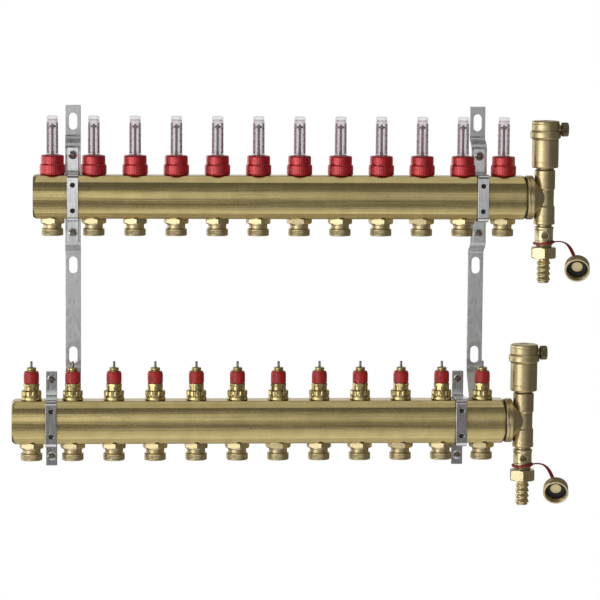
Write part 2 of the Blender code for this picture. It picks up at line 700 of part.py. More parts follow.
def cap_and_tether(label, cap_material, tether_material, place):
    """The drain's brass cap, off its spigot, hanging on a moulded strap that is looped round the barrel."""
    mouth = CAP_LENGTH / 2
    shape = turned(
        [
            (0, -mouth - CAP_KNOB_LENGTH),
            (CAP_KNOB_RADIUS, -mouth - CAP_KNOB_LENGTH),
            (CAP_KNOB_RADIUS, -mouth),
            (CAP_RADIUS, -mouth),
            (CAP_RADIUS, mouth),
            (CAP_BORE_RADIUS, mouth),
            (CAP_BORE_RADIUS, -mouth + CAP_FLOOR),
            (0, -mouth + CAP_FLOOR),
        ],
        CAP_ROUND,
    )
    made = cap_matrix()
    at = Vector(place) + made.translation
    add_object(f"{label}_drain_cap", moved(shape, made.to_3x3().to_4x4()), at, cap_material)
    ring = turned(
        [
            (TETHER_RING_OUTER, TETHER_RING_HEIGHT / 2),
            (TETHER_RING_OUTER, -TETHER_RING_HEIGHT / 2),
            (TETHER_RING_INNER, -TETHER_RING_HEIGHT / 2),
            (TETHER_RING_INNER, TETHER_RING_HEIGHT / 2),
        ],
        ring=True,
    )
    low = Vector(place) + Vector((0, 0, TETHER_HEIGHT))
    tether = add_object(f"{label}_cap_tether", ring, low, tether_material)
    to_eye = Matrix.Translation((0, 0, -TETHER_HEIGHT)) @ made
    middle = -mouth - CAP_KNOB_LENGTH / 2
    high = middle + TETHER_EYE_THICKNESS / 2
    eye = turned(
        [
            (TETHER_EYE_OUTER, high),
            (TETHER_EYE_OUTER, high - TETHER_EYE_THICKNESS),
            (TETHER_EYE_INNER, high - TETHER_EYE_THICKNESS),
            (TETHER_EYE_INNER, high),
        ],
        ring=True,
    )
    combine(tether, moved(eye, to_eye), "UNION")
    combine(tether, tether_strap(to_eye, middle), "UNION")


def tether_strap(to_eye, middle):
    """The strap from the ring to the eye behind the cap: a flat section that twists by a quarter turn."""
    across_eye = to_eye.to_3x3() @ Vector((1, 0, 0))
    outward = Vector((TETHER_EYE_SIDE, 1, 0)).normalized()
    rim = to_eye @ (outward * TETHER_EYE_MIDDLE + Vector((0, 0, middle)))
    ends = (Vector((TETHER_RING_MIDDLE, 0, 0)), rim)
    pulls = (ends[0] + Vector(TETHER_START_PULL), ends[1] + Vector(TETHER_END_PULL))
    route = [bezier(*ends, *pulls, i / TETHER_STEPS) for i in range(TETHER_STEPS + 1)]
    shape = bmesh.new()
    loops = []
    for i, point in enumerate(route):
        along = route[min(i + 1, TETHER_STEPS)] - route[max(i - 1, 0)]
        along.normalize()
        wide = Vector((0, 1, 0)).lerp(across_eye, i / TETHER_STEPS)
        wide = (wide - along * wide.dot(along)).normalized()
        thick = along.cross(wide) * TETHER_THICKNESS / 2
        wide = wide * TETHER_WIDTH / 2
        corners = (wide + thick, wide - thick, -wide - thick, -wide + thick)
        loops.append([shape.verts.new(point + corner) for corner in corners])
    for first, second in zip(loops, loops[1:]):
        for i in range(4):
            j = (i + 1) % 4
            shape.faces.new((first[i], first[j], second[j], second[i]))
    shape.faces.new(loops[0])
    shape.faces.new(loops[-1])
    bmesh.ops.recalc_face_normals(shape, faces=shape.faces)
    return shape


def bezier(start, end, first_pull, second_pull, t):
    near = start * (1 - t) ** 3 + first_pull * 3 * t * (1 - t) ** 2
    return near + second_pull * 3 * t**2 * (1 - t) + end * t**3


def build():
    clear_scene()
    brass = finish("satin_brass", (0.62, 0.50, 0.24), 0.38, 1.0)
    bright = finish("bright_brass", (0.80, 0.62, 0.22), 0.25, 1.0)
    red = finish("red_plastic", (0.70, 0.02, 0.04), 0.30, 0.0)
    ring_red = finish("preset_red", (0.62, 0.05, 0.06), 0.45, 0.0)
    steel = finish("galvanised_steel", (0.62, 0.64, 0.66), 0.40, 1.0)
    zinc = finish("bright_zinc", (0.72, 0.73, 0.75), 0.25, 1.0)
    tether_red = finish("tether_red", (0.42, 0.03, 0.04), 0.50, 0.0)
    supply_centre = supply_bar(brass)
    return_centre = return_bar(brass)
    flow_meters(red, supply_centre)
    valve_tops(ring_red, zinc, return_centre)
    brackets(steel, zinc, supply_centre, return_centre)
    reach = (CIRCUITS - 1) * PITCH + BAR_RIGHT_REACH + END_AXIS_REACH
    for label, first, centre, height in (
        ("supply", SUPPLY_FIRST, supply_centre, SUPPLY_HEIGHT),
        ("return", RETURN_FIRST, return_centre, RETURN_HEIGHT),
    ):
        place = (first + reach, centre, height)
        end_tee(label, brass, place)
        air_vent(label, brass, brass, place)
        drain_valve(label, bright, brass, place)
        hose_union(label, bright, place)
        cap_and_tether(label, brass, tether_red, place)


build()
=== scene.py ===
"""The looks of a twelve-circuit underfloor heating manifold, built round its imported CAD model.

The frame is in metres: +X runs along the bars, +Z is up and -Y points away from the wall. Outlines here
are in millimetres. Turned pieces are made round their own +Z axis and then placed, so a finish follows
its own piece.
"""

import itertools
import math

import bmesh
import bpy
from mathutils import Matrix, Vector

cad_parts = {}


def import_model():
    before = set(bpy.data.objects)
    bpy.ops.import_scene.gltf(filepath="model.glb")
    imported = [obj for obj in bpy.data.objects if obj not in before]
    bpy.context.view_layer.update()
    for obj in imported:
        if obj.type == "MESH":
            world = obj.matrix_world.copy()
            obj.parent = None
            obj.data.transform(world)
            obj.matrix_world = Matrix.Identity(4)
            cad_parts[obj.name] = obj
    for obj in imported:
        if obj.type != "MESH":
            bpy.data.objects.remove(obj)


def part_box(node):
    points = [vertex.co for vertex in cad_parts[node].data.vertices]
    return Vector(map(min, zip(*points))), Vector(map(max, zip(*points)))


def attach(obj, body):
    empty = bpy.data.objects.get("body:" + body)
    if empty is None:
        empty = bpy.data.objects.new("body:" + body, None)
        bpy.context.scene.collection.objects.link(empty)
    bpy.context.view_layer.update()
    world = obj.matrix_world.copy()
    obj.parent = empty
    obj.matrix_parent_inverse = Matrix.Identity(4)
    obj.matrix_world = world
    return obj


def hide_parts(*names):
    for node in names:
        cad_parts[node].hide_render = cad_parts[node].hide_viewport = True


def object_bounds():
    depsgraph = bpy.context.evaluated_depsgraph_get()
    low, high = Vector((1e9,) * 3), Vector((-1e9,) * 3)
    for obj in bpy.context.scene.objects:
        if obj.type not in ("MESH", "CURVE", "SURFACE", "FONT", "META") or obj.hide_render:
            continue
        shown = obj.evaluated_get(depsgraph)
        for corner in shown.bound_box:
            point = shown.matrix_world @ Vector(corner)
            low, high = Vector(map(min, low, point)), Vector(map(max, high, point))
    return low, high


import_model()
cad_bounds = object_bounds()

MM = 0.001
CIRCUITS = 12
ON_AXIS = 1e-6
SHARP_ANGLE = math.radians(32)
FRONT = -math.pi / 2

# Rounding of an outline's corners: its usual size, and the most of a side that it may take up
EASE = 0.35
MOST_EASE = 0.45
EASE_STEPS = 3
BEND_STEPS = 6

# Bar section and turned ends
BAR_HALF_HEIGHT = 26.25
BAR_HALF_DEPTH = 22.5
CREASE_HEIGHT = 18.25
CREASE_DEPTH = 19.5
TOP_FLAT_DEPTH = 12.5
GALLERY_RADIUS = 16.0
TURNED_END_RADIUS = 24.5
TURNED_END_LENGTH = 6.0
GALLERY_THREAD_LENGTH = 17.0
PIPE_PITCH = 2.3
PIPE_THREAD_DEPTH = 1.1

# Outlets, measured down from a bar's underside
OUTLET_DEPTH = 21.0
OUTLET_BORE = 7.5
OUTLET_CORNER = 15.6
OUTLET_NECK = 11.0
OUTLET_THREAD_RADIUS = 13.25
OUTLET_THREAD_DEPTH = 0.4
OUTLET_TURNS = [math.radians(angle) for angle in (-20, -14, -24, -17, -28, -20, -12, -23)]
OUTLET_PITCH = 1.8

# Flow meters, measured up from the cap's lower edge; a mark's place and half its width are angles
SKIRT_RADIUS = 15.5
GRIP_RADIUS = 13.95
GRIP_TOP = 24.0
GRIP_FLUTES = 40
TUBE_RADIUS = 7.3
TUBE_TOP = 67.5
METER_TOP = 71.5
ROD_RADIUS = 1.5
DISC_RADIUS = 4.2
DISC_HEIGHT = 58.5
SCALE_LOW = 27.0
SCALE_HIGH = 62.5
SCALE_MARKS = 25
SCALE_COLUMNS = (-0.93, 0.98)
LONG_MARK_EVERY = 5
LONG_MARK = 0.34
SHORT_MARK = 0.24
MARK_RISE = 0.38

# Preset valves; the insert's shoulder and gland are measured up from the top of the bar
VALVE_RADIUS = 12.2
SHOULDER = 20.7
GLAND_TOP = 39.9
GLAND_RADIUS = 5.9
PRESET_RADIUS = 9.3
PRESET_HEIGHT = 14.2
PIN_RADIUS = 1.5
PIN_PROUD = 7.4
PIN_LENGTH = 16.0

# Straps, plates, clamps and screws; the strap's path is (distance from the wall, height, rounding)
STRAP_WIDTH = 19.0
STRAP_THICKNESS = 2.5
STRAP_PATH = (
    (0, 244.6), (0, 203.5, 6), (20.5, 196, 6), (20.5, 75, 6), (0, 67.5, 6),
    (0, -84, 8), (43, -127, 8), (43, -166),
)
SLOT_WIDTH = 10.0
SLOT_HEIGHT = 21.0
SLOT_HEIGHTS = (224.8, 47.8, -63.7)
PLATE_BACK = 45.0
PLATE_FRONT = 48.0
PLATE_TAB = 20.0
CLAMP_WIDTH = 13.5
CLAMP_THICKNESS = 2.0
CLAMP_REACH = 58.0
CLAMP_LEG = 26.85
CLAMP_BEND = 3.6
CLAMP_HOLES = (15.5, -15.5)
CLAMP_HOLE_RADIUS = 2.9
LINER_HALF_HEIGHT = 21.0
SCREW_HEIGHTS = (49.0, -46.0)
SCREW_HEAD_RADIUS = 3.9
SCREW_RADIUS = 2.0
RECESS_LENGTH = 2.4
RECESS_WIDTH = 0.6
STEEL_EDGE = 0.4
RETURN_CLAMP_SHIFT = -26.0

# End sets, measured from the point where the bar's axis meets the vertical axis
COLLAR_FACE = -23.7
COLLAR_RADIUS = 27.0
PLUG_LENGTH = 12.0
TEE_RADIUS = 12.6
TEE_WAIST_RADIUS = 11.4
TEE_BORE = 7.0
TEE_TOP = 34.0
TEE_BOTTOM = -33.0
VENT_LOW = 34.3
VENT_RADIUS = 16.3
VENT_COLLAR_RADIUS = 18.7
VENT_HEAD_RADIUS = 17.0
VENT_HEIGHT = 59.8
VENT_BOSS_HEIGHT = 83.4
VENT_BOSS_REACH = 19.0
VENT_CAP_RADIUS = 8.7
DRAIN_RADIUS = 11.2
DRAIN_BOTTOM = -68.0
SPINDLE_HEIGHT = -46.5
SPINDLE_RADIUS = 3.3
NUT_TOP = -61.0
NUT_BOTTOM = -74.5
NUT_CORNER = 16.6
TAIL_BOTTOM = -105.0
TAIL_BORE = 4.5
BARBS = 4
BARB_ROOT = 7.0
BARB_CREST = 8.4
TETHER_HEIGHT = -55.5
TETHER_TILT = math.radians(5)
TETHER_WIDTH = 4.5
TETHER_THICKNESS = 1.5
TETHER_START = (12.5, 0, 0.6)
TETHER_FIRST_PULL = (18, 0, 4)
TETHER_LAST_PULL = (-6, 0, 13)
TETHER_RING_INNER = 11.7
TETHER_RING_OUTER = 13.3
CAP_POSITION = (41.0, -6.0, -86.5)
CAP_TILT = math.radians(20)
CAP_YAW = math.radians(8)
CAP_MOUTH = 6.75
CAP_RADIUS = 15.3
CAP_BORE = 12.9
CAP_FLOOR = 3.0 - CAP_MOUTH

# Floor: its radius, and in metres how far it is below the object
FLOOR_RADIUS = 3800
FLOOR_DROP = 2.9

# Lights, in metres and degrees: name, distance, azimuth, elevation, width, height and radiance
LIGHTS = (
    ("left_softbox", 4.2, -46, 3, 3.1, 2.8, 2.1),
    ("far_left_card", 4.2, -117, 3, 6.4, 2.4, 1.15),
    ("front_panel", 4.2, -12, 3, 1.9, 1.25, 0.94),
    ("right_fill", 4.2, 14, 3, 1.8, 1.25, 0.46),
    ("low_card", 2.2, 3, -59, 2.2, 2.75, 0.58),
    ("overhead", 2.8, 0, 85, 2.4, 1.8, 0.54),
    ("back_panel", 4.2, 180, 12, 4.0, 2.0, 0.60),
)

# Camera, aimed at a point near the object's middle
CAMERA_LENS = 177
CAMERA_SENSOR = 36
CAMERA_YAW = math.radians(3.876)
CAMERA_PITCH = math.radians(6.59)
CAMERA_ROLL = math.radians(0.447)
CAMERA_DISTANCE = 3.6085
CAMERA_AIM = (-0.0032, 0.0, 0.0080)

# Turns that point a piece's own +Z along the bars, or away from the wall
TO_X = Matrix.Rotation(math.radians(90), 4, "Y")
TO_FRONT = Matrix.Rotation(math.radians(90), 4, "X")


# Shapes


def eased(corners, closed=False, steps=EASE_STEPS):
    """An outline's points, with each corner, (across, up) or (across, up, rounding), rounded off."""
    points = []
    for i, (across, up, *rounding) in enumerate(corners):
        here = Vector((across, up))
        ease = rounding[0] if rounding else EASE
        at_end = not closed and i in (0, len(corners) - 1)
        if at_end or not ease:
            points.append(here)
            continue
        before = Vector(corners[i - 1][:2]) - here
        after = Vector(corners[(i + 1) % len(corners)][:2]) - here
        ease = min(ease, MOST_EASE * before.length, MOST_EASE * after.length)
        start = here + before.normalized() * ease
        end = here + after.normalized() * ease
        for step in range(steps + 1):
            t = step / steps
            points.append(start * (1 - t) ** 2 + here * 2 * t * (1 - t) + end * t**2)
    return points


def mesh_from(points, faces):
    """A mesh from points in millimetres."""
    mesh = bpy.data.meshes.new("shape")
    mesh.from_pydata([Vector(point) * MM for point in points], [], faces)
    return tidied(mesh)


def tidied(mesh):
    """The mesh with its faces turned outward, and smooth but for its real edges."""
    shape = bmesh.new()
    shape.from_mesh(mesh)
    bmesh.ops.recalc_face_normals(shape, faces=shape.faces)
    shape.to_mesh(mesh)
    shape.free()
    mesh.shade_smooth()
    mesh.set_sharp_from_angle(angle=SHARP_ANGLE)
    return mesh


def lathe(corners, sides=48, closed=False, reach=None):
    """A mesh turned about +Z from (radius, height) corners, with sides as a number or as their angles.

    reach(radius, height, angle) gives each point's distance from the axis.
    """
    angles = sides if isinstance(sides, list) else [math.tau * i / sides for i in range(sides)]
    points = []
    loops = []
    for radius, height in eased(corners, closed):
        if radius < ON_AXIS:
            loops.append([len(points)] * len(angles))
            points.append((0, 0, height))
            continue
        loops.append(list(range(len(points), len(points) + len(angles))))
        for angle in angles:
            distance = reach(radius, height, angle) if reach else radius
            points.append((distance * math.cos(angle), distance * math.sin(angle), height))
    faces = []
    for first, second in zip(loops, loops[1:] + (loops[:1] if closed else [])):
        for i in range(len(angles)):
            j = (i + 1) % len(angles)
            face = list(dict.fromkeys((first[i], first[j], second[j], second[i])))
            if len(face) > 2:
                faces.append(face)
    return mesh_from(points, faces)


def rows(radius, low, high, count):
    """Plain points up a straight side, for a thread or a knurl to reshape."""
    return [(radius, low + (high - low) * i / count, 0) for i in range(count + 1)]


def polygon(corner, flats, low=-math.inf, high=math.inf):
    """A reach that cuts flats on a turned blank, between two heights."""
    step = math.tau / flats

    def reach(radius, height, angle):
        if not low <= height <= high:
            return radius
        flat = corner * math.cos(step / 2) / math.cos(angle % step - step / 2)
        return min(radius, flat)

    return reach


def thread(pitch, depth, low, high, inside=math.inf):
    """A reach that cuts a helical thread that fades at both ends.

    A negative depth cuts it into the wall of a bore, no wider than inside.
    """

    def reach(radius, height, angle):
        if not low < height < high or radius > inside:
            return radius
        fade = min(1, (height - low) / pitch, (high - height) / pitch)
        phase = (height / pitch - angle / math.tau) % 1
        return radius - depth * fade * abs(2 * phase - 1)

    return reach


def flutes(count, depth, low, high, fade=1.0, land=-1.0):
    """A reach that cuts vertical flutes between two heights; a higher land leaves wider plain strips."""

    def reach(radius, height, angle):
        if not low < height < high:
            return radius
        strength = min(1, (height - low) / fade, (high - height) / fade)
        return radius - depth * strength * max(0, (math.cos(count * angle) - land) / (1 - land))

    return reach


def lugs(count, depth, low, high):
    """A reach that cuts square notches round an edge."""

    def reach(radius, height, angle):
        if not low < height < high:
            return radius
        wave = math.cos(count * angle) * 2.5
        return radius - depth * (0.5 - 0.5 * max(-1, min(1, wave)))

    return reach


def both(first, second):
    """Two reaches, one after the other."""
    return lambda radius, height, angle: second(first(radius, height, angle), height, angle)


def extruded(outline, low, high, turn=Matrix()):
    """A prism on an outline in the XY plane, from Z low to Z high, then turned."""
    count = len(outline)
    points = [turn @ Vector((x, y, z)) for z in (low, high) for x, y in outline]
    faces = [list(range(count))[::-1], list(range(count, 2 * count))]
    for i in range(count):
        j = (i + 1) % count
        faces.append([i, j, count + j, count + i])
    return mesh_from(points, faces)


def in_scene(name, data):
    """A new object, put in the scene."""
    made = bpy.data.objects.new(name, data)
    bpy.context.scene.collection.objects.link(made)
    return made


def carved(mesh, cutters):
    """The mesh with other meshes cut out of it."""
    target = in_scene("carved", mesh)
    helpers = [in_scene("cutter", cutter) for cutter in cutters]
    for helper in helpers:
        change = target.modifiers.new("cut", "BOOLEAN")
        change.operation = "DIFFERENCE"
        change.solver = "EXACT"
        change.object = helper
    graph = bpy.context.evaluated_depsgraph_get()
    made = bpy.data.meshes.new_from_object(target.evaluated_get(graph))
    for thing in (target, *helpers):
        bpy.data.objects.remove(thing)
    return tidied(made)


def rod_cutter(radius, low, high, turn):
    mesh = lathe([(0, low), (radius, low, 0), (radius, high, 0), (0, high)], 32)
    mesh.transform(scaled(turn))
    return mesh


def box_cutter(low, high):
    corners = [(low[0], low[1]), (high[0], low[1]), (high[0], high[1]), (low[0], high[1])]
    return extruded(corners, low[2], high[2])


def scaled(matrix):
    """The same matrix with its place turned from millimetres into metres."""
    made = matrix.copy()
    made.translation = made.translation * MM
    return made


def bent_strip(path, thickness, width):
    """A strip bent along a path of (forward, up) corners on its wall side, centred on X."""
    points = eased(path, steps=BEND_STEPS)
    offsets = []
    for i, here in enumerate(points):
        before = (here - points[i - 1]).normalized() if i else None
        after = (points[i + 1] - here).normalized() if i + 1 < len(points) else None
        along = ((before or after) + (after or before)).normalized()
        across = Vector((-(before or after).y, (before or after).x))
        normal = Vector((-along.y, along.x))
        offsets.append(here + normal * thickness / normal.dot(across))
    turn = Matrix(((0, 0, 1, 0), (-1, 0, 0, 0), (0, 1, 0, 0), (0, 0, 0, 1)))
    outline = [(point.x, point.y) for point in (*points, *reversed(offsets))]
    return extruded(outline, -width / 2, width / 2, turn)


def slot_outline(height):
    """A slot with round ends."""
    straight = (SLOT_HEIGHT - SLOT_WIDTH) / 2
    outline = []
    for side in (1, -1):
        for i in range(13):
            angle = math.pi * i / 12
            across = side * SLOT_WIDTH / 2 * math.cos(angle)
            outline.append((across, height + side * (straight + SLOT_WIDTH / 2 * math.sin(angle))))
    return outline


# Finishes


class Finish:
    """A Principled material for one slot, with short calls that add nodes to it."""

    def __init__(self, slot, values):
        self.material = bpy.data.materials.new(slot)
        self.material.use_nodes = True
        self.tree = self.material.node_tree
        self.shader = self.tree.nodes["Principled BSDF"]
        for label, value in values.items():
            self.shader.inputs[label].default_value = value
        self.place = self.add("TexCoord").outputs["Object"]

    def add(self, kind, values=None, **settings):
        made = self.tree.nodes.new("ShaderNode" + kind)
        for key, value in settings.items():
            setattr(made, key, value)
        for label, value in (values or {}).items():
            socket = made.inputs[label]
            if isinstance(value, bpy.types.NodeSocket):
                self.tree.links.new(value, socket)
            else:
                socket.default_value = value
        return made

    def noise(self, scale, stretch=(1, 1, 1), detail=3.0, offset=0.0):
        values = {"Vector": self.place, "Scale": stretch, "Location": (offset, offset, offset)}
        placed = self.add("Mapping", values).outputs["Vector"]
        values = {"Vector": placed, "Scale": scale, "Detail": detail}
        return self.add("TexNoise", values).outputs["Fac"]

    def spread(self, factor, low, high, start=0.35, end=0.65):
        values = {"Value": factor, "From Min": start, "From Max": end, "To Min": low, "To Max": high}
        return self.add("MapRange", values).outputs["Result"]

    def blend(self, factor, first, second):
        made = self.add("Mix", {"Factor": factor}, data_type="RGBA")
        for socket, value in ((made.inputs[6], first), (made.inputs[7], second)):
            if isinstance(value, bpy.types.NodeSocket):
                self.tree.links.new(value, socket)
            else:
                socket.default_value = (*value, 1)
        return made.outputs[2]

    def total(self, first, second):
        return self.add("Math", {0: first, 1: second}, operation="ADD").outputs[0]

    def bump(self, height, distance, normal=None):
        values = {"Height": height, "Distance": distance, "Strength": 1.0}
        if normal:
            values["Normal"] = normal
        return self.add("Bump", values).outputs["Normal"]

    def use(self, label, socket):
        self.tree.links.new(socket, self.shader.inputs[label])


def brass(slot, colour, tint, roughness, lines, line_scale, line_depth):
    """Worked brass: lines from the die or the lathe, tarnish in patches, and painted shade that darkens its
    corners and creases.
    """
    made = Finish(slot, {"Metallic": 1.0})
    line = made.noise(line_scale, lines, detail=4.0)
    patch = made.noise(55.0, detail=5.0, offset=3.0)
    speck = made.noise(900.0, detail=2.0, offset=7.0)
    body = made.blend(made.spread(patch, 0.0, 1.0), colour, tint)
    # Painted shade: where ambient occlusion finds nearby surfaces, in corners, creases and between parts,
    # the colour darkens towards a dark brown.
    near = made.add("AmbientOcclusion", {"Distance": 0.004}, samples=4).outputs["AO"]
    painted_shade_colour = tuple(value * 0.42 for value in tint)
    body = made.blend(made.spread(near, 0.0, 1.0, 0.25, 0.9), painted_shade_colour, body)
    made.use("Base Color", body)
    made.use("Roughness", made.total(made.spread(line, *roughness), made.spread(speck, -0.03, 0.03)))
    made.use("Normal", made.bump(line, line_depth))
    return made.material


def galvanised_steel():
    """Hot-dip zinc on steel: overlapping crystals, each with its own sheen, and faint rolling lines."""
    made = Finish("galvanised_steel", {"Metallic": 1.0})
    warp = made.noise(160.0, detail=2.0)
    placed = made.add("Mapping", {"Vector": made.place, "Scale": (1, 1, 0.6)}).outputs["Vector"]
    cells = made.add("TexVoronoi", {"Vector": placed, "Scale": 260.0, "Randomness": 1.0})
    grey = made.add("RGBToBW", {"Color": cells.outputs["Color"]}).outputs["Val"]
    crystal = made.total(grey, made.spread(warp, -0.1, 0.1))
    tone = made.blend(made.spread(crystal, 0.0, 1.0, 0.2, 0.8), (0.68, 0.70, 0.715), (0.84, 0.85, 0.86))
    made.use("Base Color", tone)
    made.use("Roughness", made.spread(crystal, 0.30, 0.46, 0.2, 0.8))
    lines = made.noise(700.0, (1.0, 1.0, 0.03))
    made.use("Normal", made.bump(lines, 0.00006, normal=made.bump(crystal, 0.00004)))
    return made.material


def bright_zinc():
    """Clear zinc plating on pressed steel: bright, with a faint blue cast and fine drawn lines."""
    made = Finish("bright_zinc", {"Metallic": 1.0})
    lines = made.noise(900.0, (1.0, 1.0, 0.04), detail=4.0)
    patch = made.noise(120.0, detail=4.0)
    made.use("Base Color", made.blend(made.spread(patch, 0.0, 1.0), (0.78, 0.79, 0.81), (0.70, 0.71, 0.70)))
    made.use("Roughness", made.spread(lines, 0.14, 0.26))
    made.use("Normal", made.bump(lines, 0.00004))
    return made.material


def pin_steel():
    """Ground stainless pin, slightly stained."""
    made = Finish("pin_steel", {"Metallic": 1.0})
    lines = made.noise(1500.0, (0.03, 0.03, 1.0))
    stain = made.noise(300.0, detail=4.0)
    made.use("Base Color", made.blend(made.spread(stain, 0.0, 1.0), (0.34, 0.32, 0.29), (0.20, 0.18, 0.16)))
    made.use("Roughness", made.spread(lines, 0.22, 0.38))
    made.use("Normal", made.bump(lines, 0.00003))
    return made.material


def plastic(slot, colour, tint, roughness, grain, coat=0.0, lustre=0.0):
    """Moulded plastic or rubber: a slightly uneven colour, fine grain and handling marks in its gloss.

    coat is a glossy skin over it, and lustre lets its own reflections take its colour.
    """
    made = Finish(slot, {"Metallic": lustre, "IOR": 1.55, "Coat Weight": coat, "Coat Roughness": 0.17})
    cloud = made.noise(90.0, detail=3.0)
    fine = made.noise(2600.0, detail=2.0)
    smear = made.noise(260.0, detail=5.0, offset=2.0)
    made.use("Base Color", made.blend(made.spread(cloud, 0.0, 1.0), colour, tint))
    made.use("Roughness", made.spread(smear, *roughness))
    made.use("Normal", made.bump(fine, grain))
    return made.material


def clear_plastic():
    """The sight tube: nearly clear where it is seen square on, and denser towards its edges. Its pink tint
    is a painted reflection of the red cap and the red marks around it.
    """
    made = Finish("sight_clear", {"Metallic": 0.0, "IOR": 1.49, "Specular IOR Level": 0.6})
    edge = made.add("LayerWeight", {"Blend": 0.35}).outputs["Facing"]
    haze = made.noise(240.0, (1.0, 1.0, 0.15), detail=3.0)
    # Painted reflection: the pink of both tones stands in for the red cap and red marks reflected in the
    # clear tube.
    made.use("Base Color", made.blend(made.spread(haze, 0.0, 1.0), (0.86, 0.70, 0.745), (0.74, 0.57, 0.62)))
    made.use("Roughness", made.spread(haze, 0.05, 0.13))
    alpha = made.total(made.spread(edge, 0.17, 0.44, 0.05, 0.95), made.spread(haze, -0.02, 0.04))
    made.use("Alpha", alpha)
    made.use("Normal", made.bump(haze, 0.00005))
    return made.material


# Lines run along an extrusion, and round a turned piece
EXTRUDED = (1.0, 1.0, 0.012)
TURNED = (0.02, 0.02, 1.0)

# Colour, tint, roughness, direction of the lines, their scale and their depth
BRASSES = {
    "bar_brass": ((0.72, 0.59, 0.27), (0.63, 0.51, 0.23), (0.21, 0.30), EXTRUDED, 520.0, 0.00012),
    "cast_brass": ((0.80, 0.675, 0.39), (0.67, 0.55, 0.30), (0.30, 0.42), TURNED, 800.0, 0.00010),
    "polished_brass": ((0.88, 0.76, 0.45), (0.78, 0.64, 0.34), (0.25, 0.36), TURNED, 900.0, 0.00005),
    "dark_brass": ((0.42, 0.36, 0.22), (0.26, 0.23, 0.14), (0.24, 0.40), TURNED, 900.0, 0.00008),
}

# Colour, tint, roughness, depth of the grain, and then any coat and lustre
PLASTICS = {
    "meter_red": ((0.66, 0.004, 0.012), (0.52, 0.003, 0.009), (0.20, 0.30), 0.00002, 1.0, 0.5),
    "preset_red": ((0.62, 0.028, 0.026), (0.50, 0.020, 0.018), (0.28, 0.42), 0.00006),
    "tether_red": ((0.40, 0.018, 0.018), (0.31, 0.012, 0.013), (0.34, 0.50), 0.00005),
    "scale_ink": ((0.36, 0.13, 0.19), (0.28, 0.09, 0.14), (0.40, 0.60), 0.00002),
    "meter_grey": ((0.085, 0.058, 0.066), (0.050, 0.036, 0.042), (0.30, 0.45), 0.00003),
    "gasket_rubber": ((0.030, 0.028, 0.024), (0.018, 0.018, 0.016), (0.5, 0.7), 0.00006),
}

FINISHES = {
    **{slot: brass(slot, *values) for slot, values in BRASSES.items()},
    "galvanised_steel": galvanised_steel(),
    "bright_zinc": bright_zinc(),
    "pin_steel": pin_steel(),
    "sight_clear": clear_plastic(),
    **{slot: plastic(slot, *values) for slot, values in PLASTICS.items()},
}


# Placing


def piece(name, mesh, place, body, slot, nodes=(), bevel=0.0):
    """A piece of the object, riding on a body, in a slot's finish. It may stand for CAD nodes."""
    made = in_scene(name, mesh)
    if not mesh.materials:
        mesh.materials.append(FINISHES[slot])
    made.matrix_world = place
    if bevel:
        rounding = made.modifiers.new("edges", "BEVEL")
        rounding.width = bevel * MM
        rounding.segments = 2
        rounding.limit_method = "ANGLE"
        rounding.angle_limit = math.radians(40)
        rounding.harden_normals = False
    weighted = made.modifiers.new("shading", "WEIGHTED_NORMAL")
    weighted.keep_sharp = True
    bpy.context.view_layer.update()
    if nodes:
        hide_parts(*nodes)
    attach(made, body)
    return made


def at(place, turn=Matrix()):
    """The matrix that turns a piece and then moves it to a place."""
    return Matrix.Translation(place) @ turn


def middle(node):
    low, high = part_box(node)
    return (low + high) / 2


# Bars and outlets


def bar_section():
    """The extruded section's distance from the bar's axis at each of its angles, with local -X up."""
    sagitta = BAR_HALF_DEPTH - CREASE_DEPTH
    radius = (CREASE_HEIGHT**2 + sagitta**2) / (2 * sagitta)
    spread = math.asin(CREASE_HEIGHT / radius)
    corners = []
    for side in (1, -1):
        corners.append((side * BAR_HALF_HEIGHT, -side * TOP_FLAT_DEPTH, 1.0))
        corners.append((side * BAR_HALF_HEIGHT, side * TOP_FLAT_DEPTH, 1.0))
        for i in range(13):
            angle = spread * (1 - i / 6)
            high = side * radius * math.sin(angle)
            out = side * (BAR_HALF_DEPTH - radius + radius * math.cos(angle))
            corners.append((high, out, 0.9 if i in (0, 12) else 0))
    outline = eased(corners, closed=True)
    section = {}
    for first, second in zip(outline, outline[1:] + outline[:1]):
        count = max(1, math.ceil((second - first).length / 2.5))
        for i in range(count):
            point = first.lerp(second, i / count)
            section[math.atan2(point.y, -point.x) % math.tau] = point.length
    return section


def bar_mesh(length):
    """A bar: its extruded section, turned down at both ends, round a gallery threaded at the left."""
    section = bar_section()
    angles = sorted(section)
    turned = TURNED_END_LENGTH
    wide = TURNED_END_RADIUS + turned
    corners = [
        (GALLERY_RADIUS + 1.4, 0, 0.2), (TURNED_END_RADIUS - 0.4, 0, 0),
        *[(TURNED_END_RADIUS + turned * i / 12, turned * i / 12, 0) for i in range(13)],
        (wide, length / 2, 0),
        *[(wide - turned * i / 12, length - turned + turned * i / 12, 0) for i in range(13)],
        (GALLERY_RADIUS, length, 0.3), (GALLERY_RADIUS, GALLERY_THREAD_LENGTH + 2, 0),
        *rows(GALLERY_RADIUS, GALLERY_THREAD_LENGTH + 1, 1.4, 40),
    ]
    cut = thread(PIPE_PITCH, -PIPE_THREAD_DEPTH, 1.0, GALLERY_THREAD_LENGTH, GALLERY_RADIUS + 0.5)

    def reach(radius, height, angle):
        return cut(min(radius, section[angle]), height, angle)

    return lathe(corners, angles, closed=True, reach=reach)


